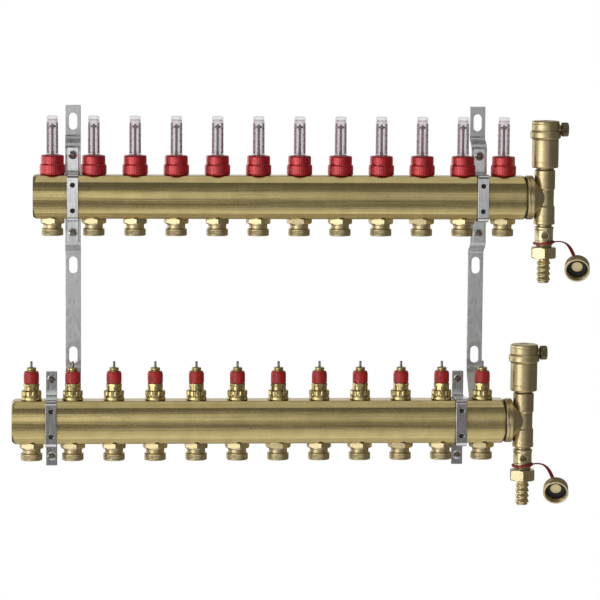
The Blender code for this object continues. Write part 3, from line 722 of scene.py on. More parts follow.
def outlet_mesh():
    """A nipple screwed into a bar's underside, at height 0: hexagon, neck, thread and bore."""
    corners = [
        (OUTLET_BORE, 0.8, 0.2), (14.0, 0.8, 0.2), (15.0, 0.2, 0), (OUTLET_CORNER, -1.0, 0.3),
        (OUTLET_CORNER, -5.2, 0.3), (14.8, -5.9, 0), (13.7, -6.5, 0.2), (11.6, -6.5, 0.4),
        (OUTLET_NECK, -7.6, 0.6), (OUTLET_NECK, -11.9, 0.5), (12.0, -12.5, 0.3), (12.7, -12.9, 0),
        *rows(OUTLET_THREAD_RADIUS, -13.3, -20.1, 26), (12.4, -OUTLET_DEPTH, 0.2),
        (8.4, -OUTLET_DEPTH, 0.3), (OUTLET_BORE, -20.2, 0.3),
    ]
    shape = both(polygon(OUTLET_CORNER, 6), thread(OUTLET_PITCH, OUTLET_THREAD_DEPTH, -20.6, -12.9))
    return lathe(corners, closed=True, reach=shape)


def bars():
    """Both bars, with their outlets. It gives the left end of each bar's axis."""
    outlet = outlet_mesh()
    axes = {}
    for label, first in (("supply", "flow_meter_01"), ("return", "preset_ring_01")):
        low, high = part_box(f"{label}_bar")
        axis = Vector((low.x, (low.y + high.y) / 2, low.z + (BAR_HALF_HEIGHT + OUTLET_DEPTH) * MM))
        axes[label] = axis
        mesh = bar_mesh((high.x - low.x) / MM)
        piece(f"{label}_bar_extrusion", mesh, at(axis, TO_X), "manifold", "bar_brass", [f"{label}_bar"])
        for i in range(CIRCUITS):
            node = first.replace("01", f"{i + 1:02d}")
            foot = Vector((middle(node).x, axis.y, axis.z - BAR_HALF_HEIGHT * MM))
            turn = Matrix.Rotation(OUTLET_TURNS[i % len(OUTLET_TURNS)], 4, "Z")
            piece(f"{label}_outlet_{i + 1:02d}", outlet, at(foot, turn), "manifold", "cast_brass")
    return axes


# Flow meters


def meter_cap_mesh():
    """The cap that throttles a circuit: a fluted skirt with a narrower fluted grip above it."""
    corners = [
        (0, 6.5), (10.7, 6.5, 0.3), (10.7, 0, 0.3), (14.4, 0, 0.5), (15.2, 1.0, 0.5),
        *rows(SKIRT_RADIUS, 1.6, 11.3, 10), (15.2, 12.4, 0.3), (14.1, 13.2, 0.3),
        *rows(GRIP_RADIUS, 13.8, 22.3, 9), (13.3, 23.5, 0.4), (12.2, GRIP_TOP, 0.5),
        (9.3, GRIP_TOP, 0.4), (8.6, 23.2, 0.3), (0, 23.2),
    ]
    skirt = flutes(GRIP_FLUTES, 0.16, 0.8, 12.2, land=0.6)
    grip = flutes(GRIP_FLUTES, 0.12, 13.4, 23.2, land=0.6)
    return lathe(corners, 8 * GRIP_FLUTES, reach=both(skirt, grip))


def sight_mesh():
    inner = TUBE_RADIUS - 1.0
    corners = [
        (inner, 23.3, 0.1), (TUBE_RADIUS, 23.3, 0.1), (TUBE_RADIUS, 24.4, 0),
        (TUBE_RADIUS - 0.15, 45, 0), (TUBE_RADIUS - 0.3, TUBE_TOP - 1.4, 0.4),
        (inner, TUBE_TOP - 0.3, 0.4), (inner - 0.5, TUBE_TOP - 0.3, 0.1), (inner - 0.3, 45, 0),
    ]
    return lathe(corners, closed=True)


def meter_top_mesh():
    corners = [
        (0, METER_TOP), (4.4, METER_TOP, 0.3), (5.9, METER_TOP - 0.4, 0.4),
        (6.9, METER_TOP - 1.2, 0.4), (6.9, METER_TOP - 3.4, 0.4), (6.1, TUBE_TOP - 0.1, 0.3),
        (5.6, TUBE_TOP - 0.4, 0.2), (5.6, TUBE_TOP - 1.6, 0.2), (0, TUBE_TOP - 1.6),
    ]
    return lathe(corners, reach=flutes(16, 0.35, METER_TOP - 3.6, METER_TOP - 0.9, 0.5))


def indicator_mesh():
    """The rod that the flow lifts, with its disc, cone and foot."""
    corners = [
        (0, DISC_HEIGHT + 3.4), (1.1, DISC_HEIGHT + 3.2, 0.2), (ROD_RADIUS, DISC_HEIGHT + 1.6, 0.2),
        (3.6, DISC_HEIGHT + 1.1, 0.3), (DISC_RADIUS, DISC_HEIGHT + 0.3, 0.2),
        (DISC_RADIUS, DISC_HEIGHT - 0.8, 0.2), (2.4, DISC_HEIGHT - 1.2, 0.3),
        (1.6, DISC_HEIGHT - 2.6, 0.3), (ROD_RADIUS, DISC_HEIGHT - 6, 0.3), (ROD_RADIUS, 30, 0.3),
        (1.9, 27, 0.3), (1.9, 23.6, 0.2), (0, 23.6),
    ]
    return lathe(corners, 24)


def scale_mesh():
    """Printed marks up both sides of the tube, front and back: short bars a hair proud of it."""
    points = []
    faces = []
    spacing = (SCALE_HIGH - SCALE_LOW) / (SCALE_MARKS - 1)
    inner = TUBE_RADIUS - 0.32
    outer = TUBE_RADIUS + 0.06
    for side, column in itertools.product((0, math.pi), SCALE_COLUMNS):
        centre = FRONT + side + column
        for mark in range(SCALE_MARKS):
            height = SCALE_LOW + mark * spacing
            half = SHORT_MARK if mark % LONG_MARK_EVERY else LONG_MARK
            angles = (centre - half, centre + half)
            add_band(points, faces, (inner, outer), angles, (height - MARK_RISE, height + MARK_RISE))
    return mesh_from(points, faces)


def add_band(points, faces, radii, angles, heights, steps=6):
    """Adds a curved bar between two radii, two angles and two heights."""
    start = len(points)
    for i in range(steps + 1):
        angle = angles[0] + (angles[1] - angles[0]) * i / steps
        for radius, height in (
            (radii[0], heights[0]),
            (radii[1], heights[0]),
            (radii[1], heights[1]),
            (radii[0], heights[1]),
        ):
            points.append((radius * math.cos(angle), radius * math.sin(angle), height))
    for i in range(steps):
        here = start + 4 * i
        for j in range(4):
            k = (j + 1) % 4
            faces.append([here + j, here + k, here + 4 + k, here + 4 + j])
    last = start + 4 * steps
    faces.append([start, start + 3, start + 2, start + 1])
    faces.append([last, last + 1, last + 2, last + 3])


def meter_base_mesh():
    """The hexagonal insert under a flow meter's cap, up from the top of the bar."""
    corners = [
        (0, -0.5), (9.8, -0.5, 0.2), (10.0, 1.0, 0.3), (10.0, 5.2, 0.3), (9.2, 6.0, 0.3), (0, 6.0),
    ]
    return lathe(corners, reach=polygon(10.4, 6))


def flow_meters(axis):
    parts = (
        ("cap", meter_cap_mesh(), "meter_red"),
        ("sight", sight_mesh(), "sight_clear"),
        ("top", meter_top_mesh(), "sight_clear"),
        ("indicator", indicator_mesh(), "meter_grey"),
        ("scale", scale_mesh(), "scale_ink"),
    )
    base = meter_base_mesh()
    for i in range(CIRCUITS):
        node = f"flow_meter_{i + 1:02d}"
        foot = middle(node)
        foot.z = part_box(node)[0].z
        for label, mesh, slot in parts:
            turn = Matrix() if label == "scale" else Matrix.Rotation(0.7 * i, 4, "Z")
            nodes = [node] if label == "cap" else ()
            piece(f"{node}_{label}", mesh, at(foot, turn), node, slot, nodes)
        foot.z = axis.z + BAR_HALF_HEIGHT * MM
        piece(f"{node}_base", base, at(foot), "manifold", "cast_brass")


# Preset valves


def valve_insert_mesh():
    """A valve's insert in the return bar: notched flange, hexagonal body, neck and gland."""
    corners = [
        (0, GLAND_TOP - 12), (2.0, GLAND_TOP - 12, 0), (2.0, GLAND_TOP - 0.6, 0),
        (2.7, GLAND_TOP, 0.2), (5.3, GLAND_TOP, 0.5), (GLAND_RADIUS, GLAND_TOP - 1.0, 0.3),
        (GLAND_RADIUS, GLAND_TOP - 2.8, 0.2), (5.4, GLAND_TOP - 3.2, 0.2),
        (5.4, GLAND_TOP - 3.8, 0.2), (GLAND_RADIUS, GLAND_TOP - 4.2, 0.2),
        (GLAND_RADIUS, SHOULDER, 0.2), (8.8, SHOULDER, 0.4), (9.7, SHOULDER - 1.0, 0.4),
        (9.7, SHOULDER - 3.2, 0.3), (9.2, SHOULDER - 3.7, 0.3), (9.2, 12.6, 0.3), (9.8, 12.0, 0.3),
        (11.4, 11.8, 0.4), *rows(VALVE_RADIUS, 11.0, 6.8, 4), (VALVE_RADIUS, 5.6, 0.3),
        (11.5, 5.2, 0.3), (11.5, 4.4, 0.3), (VALVE_RADIUS, 4.0, 0.3), (12.6, 1.0, 0.4),
        (12.0, -0.4, 0), (0, -0.4),
    ]
    shape = both(lugs(10, 0.85, 6.2, 11.6), polygon(10.3, 6, low=12.2, high=SHOULDER + 0.1))
    return lathe(corners, 120, reach=shape)


def preset_ring_mesh():
    """The red ring: twelve-sided, finely fluted, and open in the middle for the gland."""
    corners = [
        (6.45, 0, 0.2), (8.8, 0, 0.3), (PRESET_RADIUS, 0.8, 0.3), (PRESET_RADIUS, 3.0, 0),
        (PRESET_RADIUS, 10.6, 0.5), (8.5, 13.4, 0.4), (8.0, PRESET_HEIGHT, 0.3),
        (6.45, PRESET_HEIGHT, 0.2),
    ]
    return lathe(corners, 144, closed=True, reach=both(polygon(9.45, 12), flutes(36, 0.22, 0.4, 10.4)))


def pin_mesh():
    corners = [
        (0, PIN_PROUD), (1.0, PIN_PROUD, 0.3), (PIN_RADIUS, PIN_PROUD - 0.7, 0.3),
        (PIN_RADIUS, PIN_PROUD - PIN_LENGTH, 0.2), (0, PIN_PROUD - PIN_LENGTH),
    ]
    return lathe(corners, 24)


def preset_valves(axis):
    insert = valve_insert_mesh()
    ring = preset_ring_mesh()
    pin = pin_mesh()
    bar_top = axis.z + BAR_HALF_HEIGHT * MM
    for i in range(CIRCUITS):
        ring_node = f"preset_ring_{i + 1:02d}"
        pin_node = f"valve_pin_{i + 1:02d}"
        foot = Vector((middle(ring_node).x, axis.y, bar_top))
        turn = Matrix.Rotation(0.9 * i, 4, "Z")
        piece(f"valve_insert_{i + 1:02d}", insert, at(foot, turn), "manifold", "bar_brass")
        foot.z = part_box(ring_node)[0].z
        piece(f"{ring_node}_shell", ring, at(foot, turn), ring_node, "preset_red", [ring_node])
        foot.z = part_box(pin_node)[1].z - PIN_PROUD * MM
        piece(f"{pin_node}_stem", pin, at(foot), pin_node, "pin_steel", [pin_node])


# Straps, clamps and screws


def strap_mesh():
    cutters = []
    for height in SLOT_HEIGHTS:
        cutters.append(extruded(slot_outline(height), -5, 10, TO_FRONT))
    return carved(bent_strip(STRAP_PATH, STRAP_THICKNESS, STRAP_WIDTH), cutters)


def offset_plate_mesh():
    """The flat tee-shaped plate from a strap's lower end to the return bar's clamp beside it."""
    left = RETURN_CLAMP_SHIFT - CLAMP_WIDTH / 2
    right = RETURN_CLAMP_SHIFT + CLAMP_WIDTH / 2
    corners = [
        (left, -CLAMP_REACH, 1.5), (right, -CLAMP_REACH, 1.5), (right, -PLATE_TAB, 3),
        (STRAP_WIDTH / 2, -PLATE_TAB, 2), (STRAP_WIDTH / 2, PLATE_TAB, 2), (right, PLATE_TAB, 3),
        (right, CLAMP_REACH, 1.5), (left, CLAMP_REACH, 1.5),
    ]
    outline = [(point.x, point.y) for point in eased(corners, closed=True, steps=5)]
    return extruded(outline, PLATE_BACK, PLATE_FRONT, TO_FRONT)


def clamp_mesh(root, crown):
    """A hat-shaped clamp, with its wall side this far forward at its flanges and at its crown."""
    path = [(root, CLAMP_REACH), (root, CLAMP_LEG, CLAMP_BEND), (crown, CLAMP_LEG, CLAMP_BEND)]
    path += [(forward, -height, *bend) for forward, height, *bend in reversed(path)]
    cutters = []
    for height in CLAMP_HOLES:
        hole = at((0, 0, height), TO_FRONT)
        cutters.append(rod_cutter(CLAMP_HOLE_RADIUS, crown - 1, crown + CLAMP_THICKNESS + 1, hole))
    return carved(bent_strip(path, CLAMP_THICKNESS, CLAMP_WIDTH), cutters)


def liner_mesh(crown):
    """The thin rubber strip between a clamp's crown and its bar."""
    half = CLAMP_WIDTH / 2 - 0.4
    high = LINER_HALF_HEIGHT
    outline = [(-half, -high), (half, -high), (half, high), (-half, high)]
    return extruded(outline, crown - 0.26, crown - 0.03, TO_FRONT)


def screw_mesh():
    """A round-headed screw with a crossed recess. Height 0 is the face that it is screwed down on."""
    arc = [math.radians(angle) for angle in range(10, 91, 10)]
    head = [(SCREW_HEAD_RADIUS * math.sin(angle), 2.1 * math.cos(angle) + 0.9, 0) for angle in arc]
    neck = [(SCREW_HEAD_RADIUS, 0.7, 0.1), (SCREW_RADIUS, 0.7, 0.1), (SCREW_RADIUS, -5, 0.3)]
    recess = []
    for across, deep in ((RECESS_LENGTH, RECESS_WIDTH), (RECESS_WIDTH, RECESS_LENGTH)):
        recess.append(box_cutter((-across, -deep, 1.4), (across, deep, 4)))
    return carved(lathe([(0, 3.0), *head, *neck, (0, -5.6)], 40), recess)


def washer_mesh():
    """The sprung washer under a clamp screw's head."""
    corners = [(2.1, 0, 0.1), (5.6, 0, 0.2), (5.3, 0.6, 0.2), (3.4, 1.0, 0.2), (2.1, 1.0, 0.1)]
    return lathe(corners, 40, closed=True)


def supports(axes):
    strap = strap_mesh()
    plate = offset_plate_mesh()
    screw = screw_mesh()
    washer = washer_mesh()
    clamps = {}
    for side in ("left", "right"):
        strap_node = f"bracket_{side}"
        slot = "galvanised_steel"
        foot = Vector((middle(f"supply_clamp_{side}").x, 0, 0))
        piece(f"{strap_node}_strap", strap, at(foot), "manifold", slot, [strap_node], STEEL_EDGE)
        foot.z = axes["return"].z
        piece(f"{strap_node}_offset_plate", plate, at(foot), "manifold", slot, bevel=STEEL_EDGE)
        for label in ("supply", "return"):
            node = f"{label}_clamp_{side}"
            low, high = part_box(node)
            root = -high.y / MM
            crown = -low.y / MM - CLAMP_THICKNESS
            if label not in clamps:
                clamps[label] = clamp_mesh(root, crown)
            place = Vector(((low.x + high.x) / 2, 0, axes[label].z))
            piece(f"{node}_hat", clamps[label], at(place), "manifold", "bright_zinc", [node], 0.35)
            piece(f"{node}_liner", liner_mesh(crown), at(place), "manifold", "gasket_rubber")
            for i, height in enumerate(SCREW_HEIGHTS):
                head = place + Vector((0, -root - CLAMP_THICKNESS, height)) * MM
                spin = Matrix.Rotation(0.6 + 1.1 * i, 4, "Z")
                piece(f"{node}_washer_{i + 1}", washer, at(head, TO_FRONT), "manifold", "bright_zinc")
                piece(f"{node}_screw_{i + 1}", screw, at(head, TO_FRONT @ spin), "manifold", "pin_steel")


# End sets


def tee_barrel_mesh():
    corners = [
        (TEE_BORE, TEE_TOP, 0.4), (11.8, TEE_TOP, 0.3), (TEE_RADIUS, TEE_TOP - 1.0, 0.3),
        (TEE_RADIUS, 11.5, 0.6), (TEE_WAIST_RADIUS, 9.5, 0.8), (TEE_WAIST_RADIUS, -9.5, 0.8),
        (TEE_RADIUS, -11.5, 0.6), (TEE_RADIUS, TEE_BOTTOM + 5.2, 0.3), (12.9, TEE_BOTTOM + 4.6, 0.3),
        (12.9, TEE_BOTTOM + 0.8, 0.3), (11.6, TEE_BOTTOM, 0.3), (TEE_BORE, TEE_BOTTOM, 0.4),
    ]
    return lathe(corners, 64, closed=True)


def tee_branch_mesh():
    """The plug, the collar at the bar's end and the cone into the barrel, along the bar's axis."""
    face = COLLAR_FACE
    corners = [
        (5.5, face - PLUG_LENGTH, 0.3), (15.0, face - PLUG_LENGTH, 0.5),
        (15.4, face - PLUG_LENGTH + 1, 0.3), (15.4, face - 0.8, 0.2), (15.0, face, 0.1),
        (25.6, face, 0.3), (COLLAR_RADIUS, face + 0.9, 0.4), (COLLAR_RADIUS, face + 3.6, 0.2),
        (26.5, face + 3.9, 0.2), (26.5, face + 4.4, 0.2), (COLLAR_RADIUS, face + 4.7, 0.2),
        (COLLAR_RADIUS, face + 8.2, 0.4), (25.2, face + 9.5, 0.5), (22.8, face + 9.5, 0.5),
        (9.0, 1.0, 0.5), (5.5, 1.0, 0.3),
    ]
    return lathe(corners, 96, closed=True)


def gasket_mesh():
    """The ring between the bar's end and the tee's collar."""
    corners = [
        (19, COLLAR_FACE - 0.9, 0.1), (25.7, COLLAR_FACE - 0.9, 0.2), (25.9, COLLAR_FACE - 0.1, 0.2),
        (19, COLLAR_FACE - 0.1, 0.1),
    ]
    return lathe(corners, 64, closed=True)


def vent_mesh():
    """The float vent's chamber, collar and head, from its own lower face."""
    corners = [
        (7.0, 0, 0.3), (10.4, 0, 0.4), (11.0, 0.6, 0.3), (11.0, 2.0, 0.3), (12.2, 2.3, 0.3),
        (15.4, 2.3, 0.5), (VENT_RADIUS, 3.3, 0.5), (VENT_RADIUS, 9.0, 0.15), (16.1, 9.3, 0.1),
        (16.1, 9.7, 0.1), (VENT_RADIUS, 10.0, 0.15), (VENT_RADIUS, 36.0, 0.3), (15.9, 36.5, 0.2),
        (15.9, 37.1, 0.2), (17.0, 37.8, 0.3), (VENT_COLLAR_RADIUS, 39.4, 0.5),
        (VENT_COLLAR_RADIUS, 46.2, 0.5), (17.2, 47.5, 0.3), (16.6, 47.9, 0.2),
        (VENT_HEAD_RADIUS, 48.4, 0.2), (VENT_HEAD_RADIUS, 52.4, 0), (VENT_HEAD_RADIUS, 55.6, 0.3),
        (16.7, 56.0, 0.2), (VENT_HEAD_RADIUS, 56.4, 0.2), (16.7, 58.8, 0.5), (15.2, VENT_HEIGHT, 0.8),
        (6.0, VENT_HEIGHT, 0.5), (5.4, 59.3, 0.3), (0, 59.3),
    ]
    inside = [(0, 56.8), (13.5, 56.8, 0.4), (13.5, 5.2, 0.4), (7.0, 5.2, 0.3)]
    return lathe([*corners, *inside], 96)


def vent_boss_mesh():
    """The side boss on the vent's head, along +Z from the vent's axis."""
    corners = [
        (0, 12), (6.6, 12, 0.2), (6.6, 17.4, 0.2), (5.4, 17.9, 0.2), (5.0, 18.3, 0.2),
        (5.0, VENT_BOSS_REACH, 0.2), (1.4, VENT_BOSS_REACH, 0.2), (1.4, 14, 0), (0, 14),
    ]
    return lathe(corners, 40)


def vent_cap_mesh():
    """The small knurled screw cap on the boss."""
    corners = [
        (0, 2.4), (5.3, 2.4, 0.2), (5.3, 0, 0.2), (7.7, 0, 0.3), *rows(VENT_CAP_RADIUS, 0.9, 7.4, 7),
        (7.8, 8.5, 0.3), (5.6, 8.7, 0.4), (4.8, 8.0, 0.3), (1.8, 8.0, 0.2), (1.4, 7.4, 0.1),
        (1.4, 4.6, 0), (0, 4.6),
    ]
    return lathe(corners, 120, reach=flutes(24, 0.9, 0.5, 8.1))


def drain_mesh():
    """The drain valve's barrel, with the threaded spigot below it."""
    corners = [
        (5.0, -33.3, 0.3), (9.5, -33.3, 0.3), (9.5, -35.2, 0.3), (10.6, -35.5, 0.3),
        (11.75, -36.2, 0.3), (11.75, -38.4, 0.3), (11.4, -39.2, 0.3), (DRAIN_RADIUS, -40.2, 0.2),
        (DRAIN_RADIUS, -52.4, 0.3), (10.9, -52.8, 0.2), (10.9, -57.9, 0.2), (10.2, -58.5, 0.2),
        (9.4, -58.9, 0.2), *rows(9.8, -59.6, -67.2, 26), (9.0, DRAIN_BOTTOM, 0.2),
        (5.6, DRAIN_BOTTOM, 0.3), (5.0, -67.2, 0.2),
    ]
    return lathe(corners, 64, closed=True, reach=thread(OUTLET_PITCH, 0.8, -67.6, -59.2))


def gland_mesh():
    """The gland ring round the drain spindle, along +Z from the valve's axis."""
    corners = [(3.75, 9.0, 0.1), (5.3, 9.0, 0.1), (5.3, 11.3, 0.3), (4.9, 11.8, 0.2), (3.75, 11.8, 0.2)]
    return lathe(corners, 32, closed=True)


def spindle_mesh():
    """The screw that opens the drain, slotted across its end, along +Z from the valve's axis."""
    corners = [
        (0, 12.7), (2.7, 12.7, 0.3), (SPINDLE_RADIUS, 12.1, 0.3), (SPINDLE_RADIUS, 10.4, 0.2),
        (2.8, 10.1, 0.2), (2.8, 9.3, 0.2), (SPINDLE_RADIUS, 9.0, 0.2), (SPINDLE_RADIUS, -2.2, 0.2),
        (0, -2.2),
    ]
    return carved(lathe(corners, 32), [box_cutter((-5, -0.6, 11.5), (5, 0.6, 14))])


def nut_mesh():
    corners = [
        (10.4, NUT_TOP - 0.3, 0.2), (11.2, NUT_TOP, 0.2), (14.4, NUT_TOP, 0.2),
        (15.7, NUT_TOP - 0.6, 0), (NUT_CORNER, NUT_TOP - 1.5, 0.3),
        (NUT_CORNER, NUT_BOTTOM + 1.5, 0.3), (15.7, NUT_BOTTOM + 0.6, 0), (14.4, NUT_BOTTOM, 0.2),
        (7.4, NUT_BOTTOM, 0.2), (7.4, -70.8, 0.2), (10.4, -70.8, 0.2),
    ]
    return lathe(corners, 96, closed=True, reach=polygon(NUT_CORNER, 6))


def tail_mesh():
    """The barbed hose tail: a seat held by the nut, then barbs that grip a hose."""
    step = (NUT_BOTTOM - TAIL_BOTTOM) / (BARBS + 0.6)
    corners = [
        (TAIL_BORE, -68.9, 0.2), (9.6, -68.9, 0.2), (9.6, -70.5, 0.3), (BARB_ROOT + 0.3, -70.9, 0.2),
        (BARB_ROOT, NUT_BOTTOM - 0.8, 0.4),
    ]
    for i in range(1, BARBS + 1):
        crest = NUT_BOTTOM - i * step - 0.4
        corners.append((BARB_ROOT - 0.2, crest + step * 0.66, 0.6))
        corners.append((BARB_CREST, crest + step * 0.12, 0.5))
        corners.append((BARB_CREST, crest, 0.4))
        corners.append((BARB_ROOT - 0.2, crest - step * 0.16, 0.5))
    corners += [
        (BARB_ROOT - 0.2, TAIL_BOTTOM + 0.9, 0.3), (BARB_ROOT - 0.7, TAIL_BOTTOM, 0.3),
        (TAIL_BORE + 0.3, TAIL_BOTTOM, 0.2), (TAIL_BORE, TAIL_BOTTOM + 0.5, 0.2),
    ]
    return lathe(corners, closed=True)


def tether_ring_mesh():
    inner = TETHER_RING_INNER
    outer = TETHER_RING_OUTER
    corners = [(inner, 1.3, 0.3), (outer, 1.3, 0.5), (outer, -1.3, 0.5), (inner, -1.3, 0.3)]
    mesh = lathe(corners, 64, closed=True)
    mesh.transform(Matrix.Rotation(-TETHER_TILT, 4, "Y"))
    return mesh


def cap_place():
    """Where the hanging cap is, with its own +Z pointing out of its mouth."""
    yaw = Matrix.Rotation(-CAP_YAW, 4, "Z")
    tilt = Matrix.Rotation(math.radians(90) + CAP_TILT, 4, "X")
    return Matrix.Translation(CAP_POSITION) @ yaw @ tilt


def bezier(start, first_pull, second_pull, end, t):
    """The point at t, from 0 to 1, on a cubic curve."""
    near = start * (1 - t) ** 3 + first_pull * 3 * t * (1 - t) ** 2
    return near + second_pull * 3 * t**2 * (1 - t) + end * t**3


def tether_strap_mesh():
    """The moulded strap from the ring to the eye: flat, with round edges, and twisted by a quarter turn."""
    steps = 28
    sides = 16
    eye = Matrix.Translation((0, 0, -TETHER_HEIGHT)) @ cap_place()
    across_eye = eye.to_3x3() @ Vector((1, 0, 0))
    outward = Vector((-0.25, 1, 0)).normalized()
    end = eye @ (outward * 6.7 + Vector((0, 0, -CAP_MOUTH - 2)))
    start = Vector(TETHER_START)
    pulls = (start + Vector(TETHER_FIRST_PULL), end + Vector(TETHER_LAST_PULL))
    route = [bezier(start, *pulls, end, i / steps) for i in range(steps + 1)]
    points = []
    faces = []
    for i, point in enumerate(route):
        along = (route[min(i + 1, steps)] - route[max(i - 1, 0)]).normalized()
        wide = Vector((0, 1, 0)).lerp(across_eye, i / steps)
        wide = (wide - along * wide.dot(along)).normalized()
        thick = along.cross(wide)
        for j in range(sides):
            angle = math.tau * j / sides
            across = math.copysign(abs(math.cos(angle)) ** 0.5, math.cos(angle)) * TETHER_WIDTH / 2
            deep = math.copysign(abs(math.sin(angle)) ** 0.7, math.sin(angle)) * TETHER_THICKNESS / 2
            points.append(point + wide * across + thick * deep)
    for i in range(steps):
        for j in range(sides):
            k = (j + 1) % sides
            faces.append([i * sides + j, i * sides + k, (i + 1) * sides + k, (i + 1) * sides + j])
    faces.append(list(range(sides))[::-1])
    faces.append([steps * sides + j for j in range(sides)])
    return mesh_from(points, faces)


def tether_eye_mesh():
    """The ring at the strap's end, snapped over the cap's knob."""
    low = -CAP_MOUTH - 3.1
    high = low + 2.2
    corners = [(5.05, low, 0.3), (8.3, low, 0.5), (8.3, high, 0.5), (5.05, high, 0.3)]
    return lathe(corners, closed=True)


def drain_cap_mesh():
    """The cap's shell: a knurled wall, an inside thread, a floor and the knob that the eye snaps over."""
    mouth = CAP_MOUTH
    corners = [
        (0, -mouth - 4), (4.0, -mouth - 4, 0.4), (4.6, -mouth - 3.4, 0.3), (4.0, -mouth - 0.6, 0.3),
        (4.4, -mouth, 0.2), (14.2, -mouth, 0.8), (CAP_RADIUS, -mouth + 1.1, 0.5),
        *rows(CAP_RADIUS, -mouth + 1.6, 2.6, 8), (15.0, 3.3, 0.2), (15.5, 4.0, 0.3),
        (15.5, mouth - 0.5, 0.3), (15.0, mouth, 0.3), (13.6, mouth, 0.3),
        *rows(CAP_BORE, mouth - 0.8, -mouth + 4.2, 24), (CAP_BORE, CAP_FLOOR, 0.4), (0, CAP_FLOOR),
    ]
    knurl = flutes(48, 0.5, -mouth + 1.3, 3.0)
    inside = thread(OUTLET_PITCH, -0.75, -mouth + 3.8, mouth - 0.6, CAP_BORE + 0.3)
    return lathe(corners, 192, reach=both(knurl, inside))


def cap_washer_mesh():
    """The ring gasket on the cap's floor, with the bare floor inside it."""
    low = CAP_FLOOR + 0.02
    corners = [(6.8, low, 0.1), (12.2, low, 0.1), (12.2, low + 1.5, 0.3), (7.0, low + 1.5, 0.4)]
    return lathe(corners, 64, closed=True)


def end_sets(axes):
    """The pieces on each bar's right end, placed from where its axis meets their vertical axis."""
    straight = Matrix()
    valve_axis = at((0, 0, SPINDLE_HEIGHT), TO_FRONT)
    boss_axis = at((0, 0, VENT_BOSS_HEIGHT), TO_X)
    vent_cap_axis = at((VENT_BOSS_REACH + 0.3, 0, VENT_BOSS_HEIGHT), TO_X)
    union_turn = Matrix.Rotation(math.radians(26), 4, "Z")
    ring_place = at((0, 0, TETHER_HEIGHT))
    cap = cap_place()
    parts = (
        ("end_tee", "barrel", tee_barrel_mesh(), straight, "cast_brass", True),
        ("end_tee", "branch", tee_branch_mesh(), TO_X, "cast_brass", False),
        ("end_tee", "gasket", gasket_mesh(), TO_X, "gasket_rubber", False),
        ("air_vent", "body", vent_mesh(), at((0, 0, VENT_LOW)), "cast_brass", True),
        ("air_vent", "boss", vent_boss_mesh(), boss_axis, "cast_brass", False),
        ("vent_cap", "knurl", vent_cap_mesh(), vent_cap_axis, "dark_brass", True),
        ("drain_valve", "barrel", drain_mesh(), straight, "polished_brass", True),
        ("drain_valve", "gland", gland_mesh(), valve_axis, "polished_brass", False),
        ("drain_spindle", "screw", spindle_mesh(), valve_axis, "dark_brass", True),
        ("hose_union", "nut", nut_mesh(), union_turn, "polished_brass", True),
        ("hose_union", "tail", tail_mesh(), straight, "polished_brass", False),
        ("cap_tether", "ring", tether_ring_mesh(), ring_place, "tether_red", True),
        ("cap_tether", "strap", tether_strap_mesh(), ring_place, "tether_red", False),
        ("cap_tether", "eye", tether_eye_mesh(), cap, "tether_red", False),
        ("drain_cap", "shell", drain_cap_mesh(), cap, "cast_brass", True),
        ("drain_cap", "washer", cap_washer_mesh(), cap, "gasket_rubber", False),
    )
    fixed = ("end_tee", "air_vent", "drain_valve")
    for label in ("supply", "return"):
        centre = middle(f"{label}_drain_valve")
        centre.y = axes[label].y
        centre.z = axes[label].z
        for part, detail, mesh, place, slot, stands in parts:
            node = f"{label}_{part}"
            body = "manifold" if part in fixed else node
            nodes = [node] if stands else ()
            piece(f"{node}_{detail}", mesh, at(centre) @ scaled(place), body, slot, nodes)


# Stage


def softbox(name, centre, distance, azimuth, elevation, width, height, radiance):
    """A soft light round the object: azimuth 0 is in front, and it grows towards the right."""
    light = bpy.data.lights.new(name, "AREA")
    light.shape = "RECTANGLE"
    light.size = width
    light.size_y = height
    light.energy = radiance * math.pi * width * height
    made = in_scene(name, light)
    across = math.radians(azimuth)
    high = math.radians(elevation)
    level = math.cos(high)
    direction = Vector((math.sin(across) * level, -math.cos(across) * level, math.sin(high)))
    made.location = centre + direction * distance
    made.rotation_euler = direction.to_track_quat("Z", "Y").to_euler()
    made.visible_camera = False


def camera_split(tree, lit, seen, target):
    """One shader for what the camera sees directly, and another for all other light."""
    path = tree.nodes.new("ShaderNodeLightPath")
    mix = tree.nodes.new("ShaderNodeMixShader")
    tree.links.new(path.outputs["Is Camera Ray"], mix.inputs["Fac"])
    tree.links.new(lit.outputs[0], mix.inputs[1])
    tree.links.new(seen.outputs[0], mix.inputs[2])
    tree.links.new(mix.outputs[0], target)


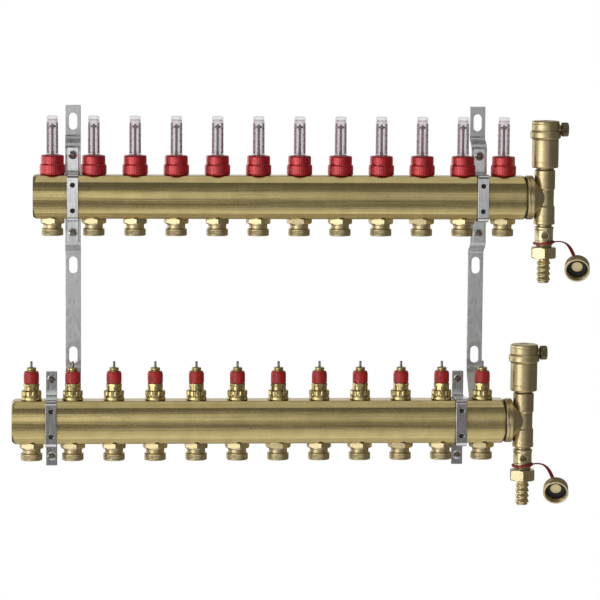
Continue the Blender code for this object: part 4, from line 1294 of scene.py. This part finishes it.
def world():
    """White behind the object, and a dim grey room for everything that it reflects."""
    made = bpy.data.worlds.new("studio")
    made.use_nodes = True
    tree = made.node_tree
    tree.nodes.clear()
    seen = tree.nodes.new("ShaderNodeBackground")
    seen.inputs["Color"].default_value = (1, 1, 1, 1)
    room = tree.nodes.new("ShaderNodeBackground")
    room.inputs["Color"].default_value = (0.13, 0.125, 0.12, 1)
    out = tree.nodes.new("ShaderNodeOutputWorld")
    camera_split(tree, room, seen, out.inputs["Surface"])
    bpy.context.scene.world = made


def floor(centre, low):
    """A round white floor below the object, which hangs on a wall."""
    mesh = lathe([(0, 0), (FLOOR_RADIUS, 0, 0), (FLOOR_RADIUS, -20, 0), (0, -20)], 96)
    material = bpy.data.materials.new("floor_white")
    material.use_nodes = True
    tree = material.node_tree
    shader = tree.nodes["Principled BSDF"]
    shader.inputs["Base Color"].default_value = (0.8, 0.8, 0.8, 1)
    shader.inputs["Roughness"].default_value = 0.9
    glow = tree.nodes.new("ShaderNodeEmission")
    camera_split(tree, shader, glow, tree.nodes["Material Output"].inputs["Surface"])
    mesh.materials.append(material)
    made = in_scene("floor", mesh)
    made.location = (centre.x, centre.y, low - FLOOR_DROP)


def camera(centre):
    """A long lens in front and a little above, turned a few degrees towards the right."""
    data = bpy.data.cameras.new("camera")
    data.lens = CAMERA_LENS
    data.sensor_width = CAMERA_SENSOR
    data.clip_end = 100
    made = in_scene("camera", data)
    turn = Matrix.Rotation(-CAMERA_YAW, 4, "Z") @ Matrix.Rotation(math.radians(90) - CAMERA_PITCH, 4, "X")
    turn = turn @ Matrix.Rotation(CAMERA_ROLL, 4, "Z")
    back = turn.to_3x3() @ Vector((0, 0, CAMERA_DISTANCE))
    made.matrix_world = at(centre + Vector(CAMERA_AIM) + back, turn)
    bpy.context.scene.camera = made


def stage():
    low, high = (Vector(corner) for corner in cad_bounds)
    centre = (low + high) / 2
    camera(centre)
    world()
    floor(centre, low.z)
    for name, *values in LIGHTS:
        softbox(name, centre, *values)
    bpy.context.scene.view_settings.view_transform = "Standard"


axes = bars()
flow_meters(axes["supply"])
preset_valves(axes["return"])
supports(axes)
end_sets(axes)
stage()
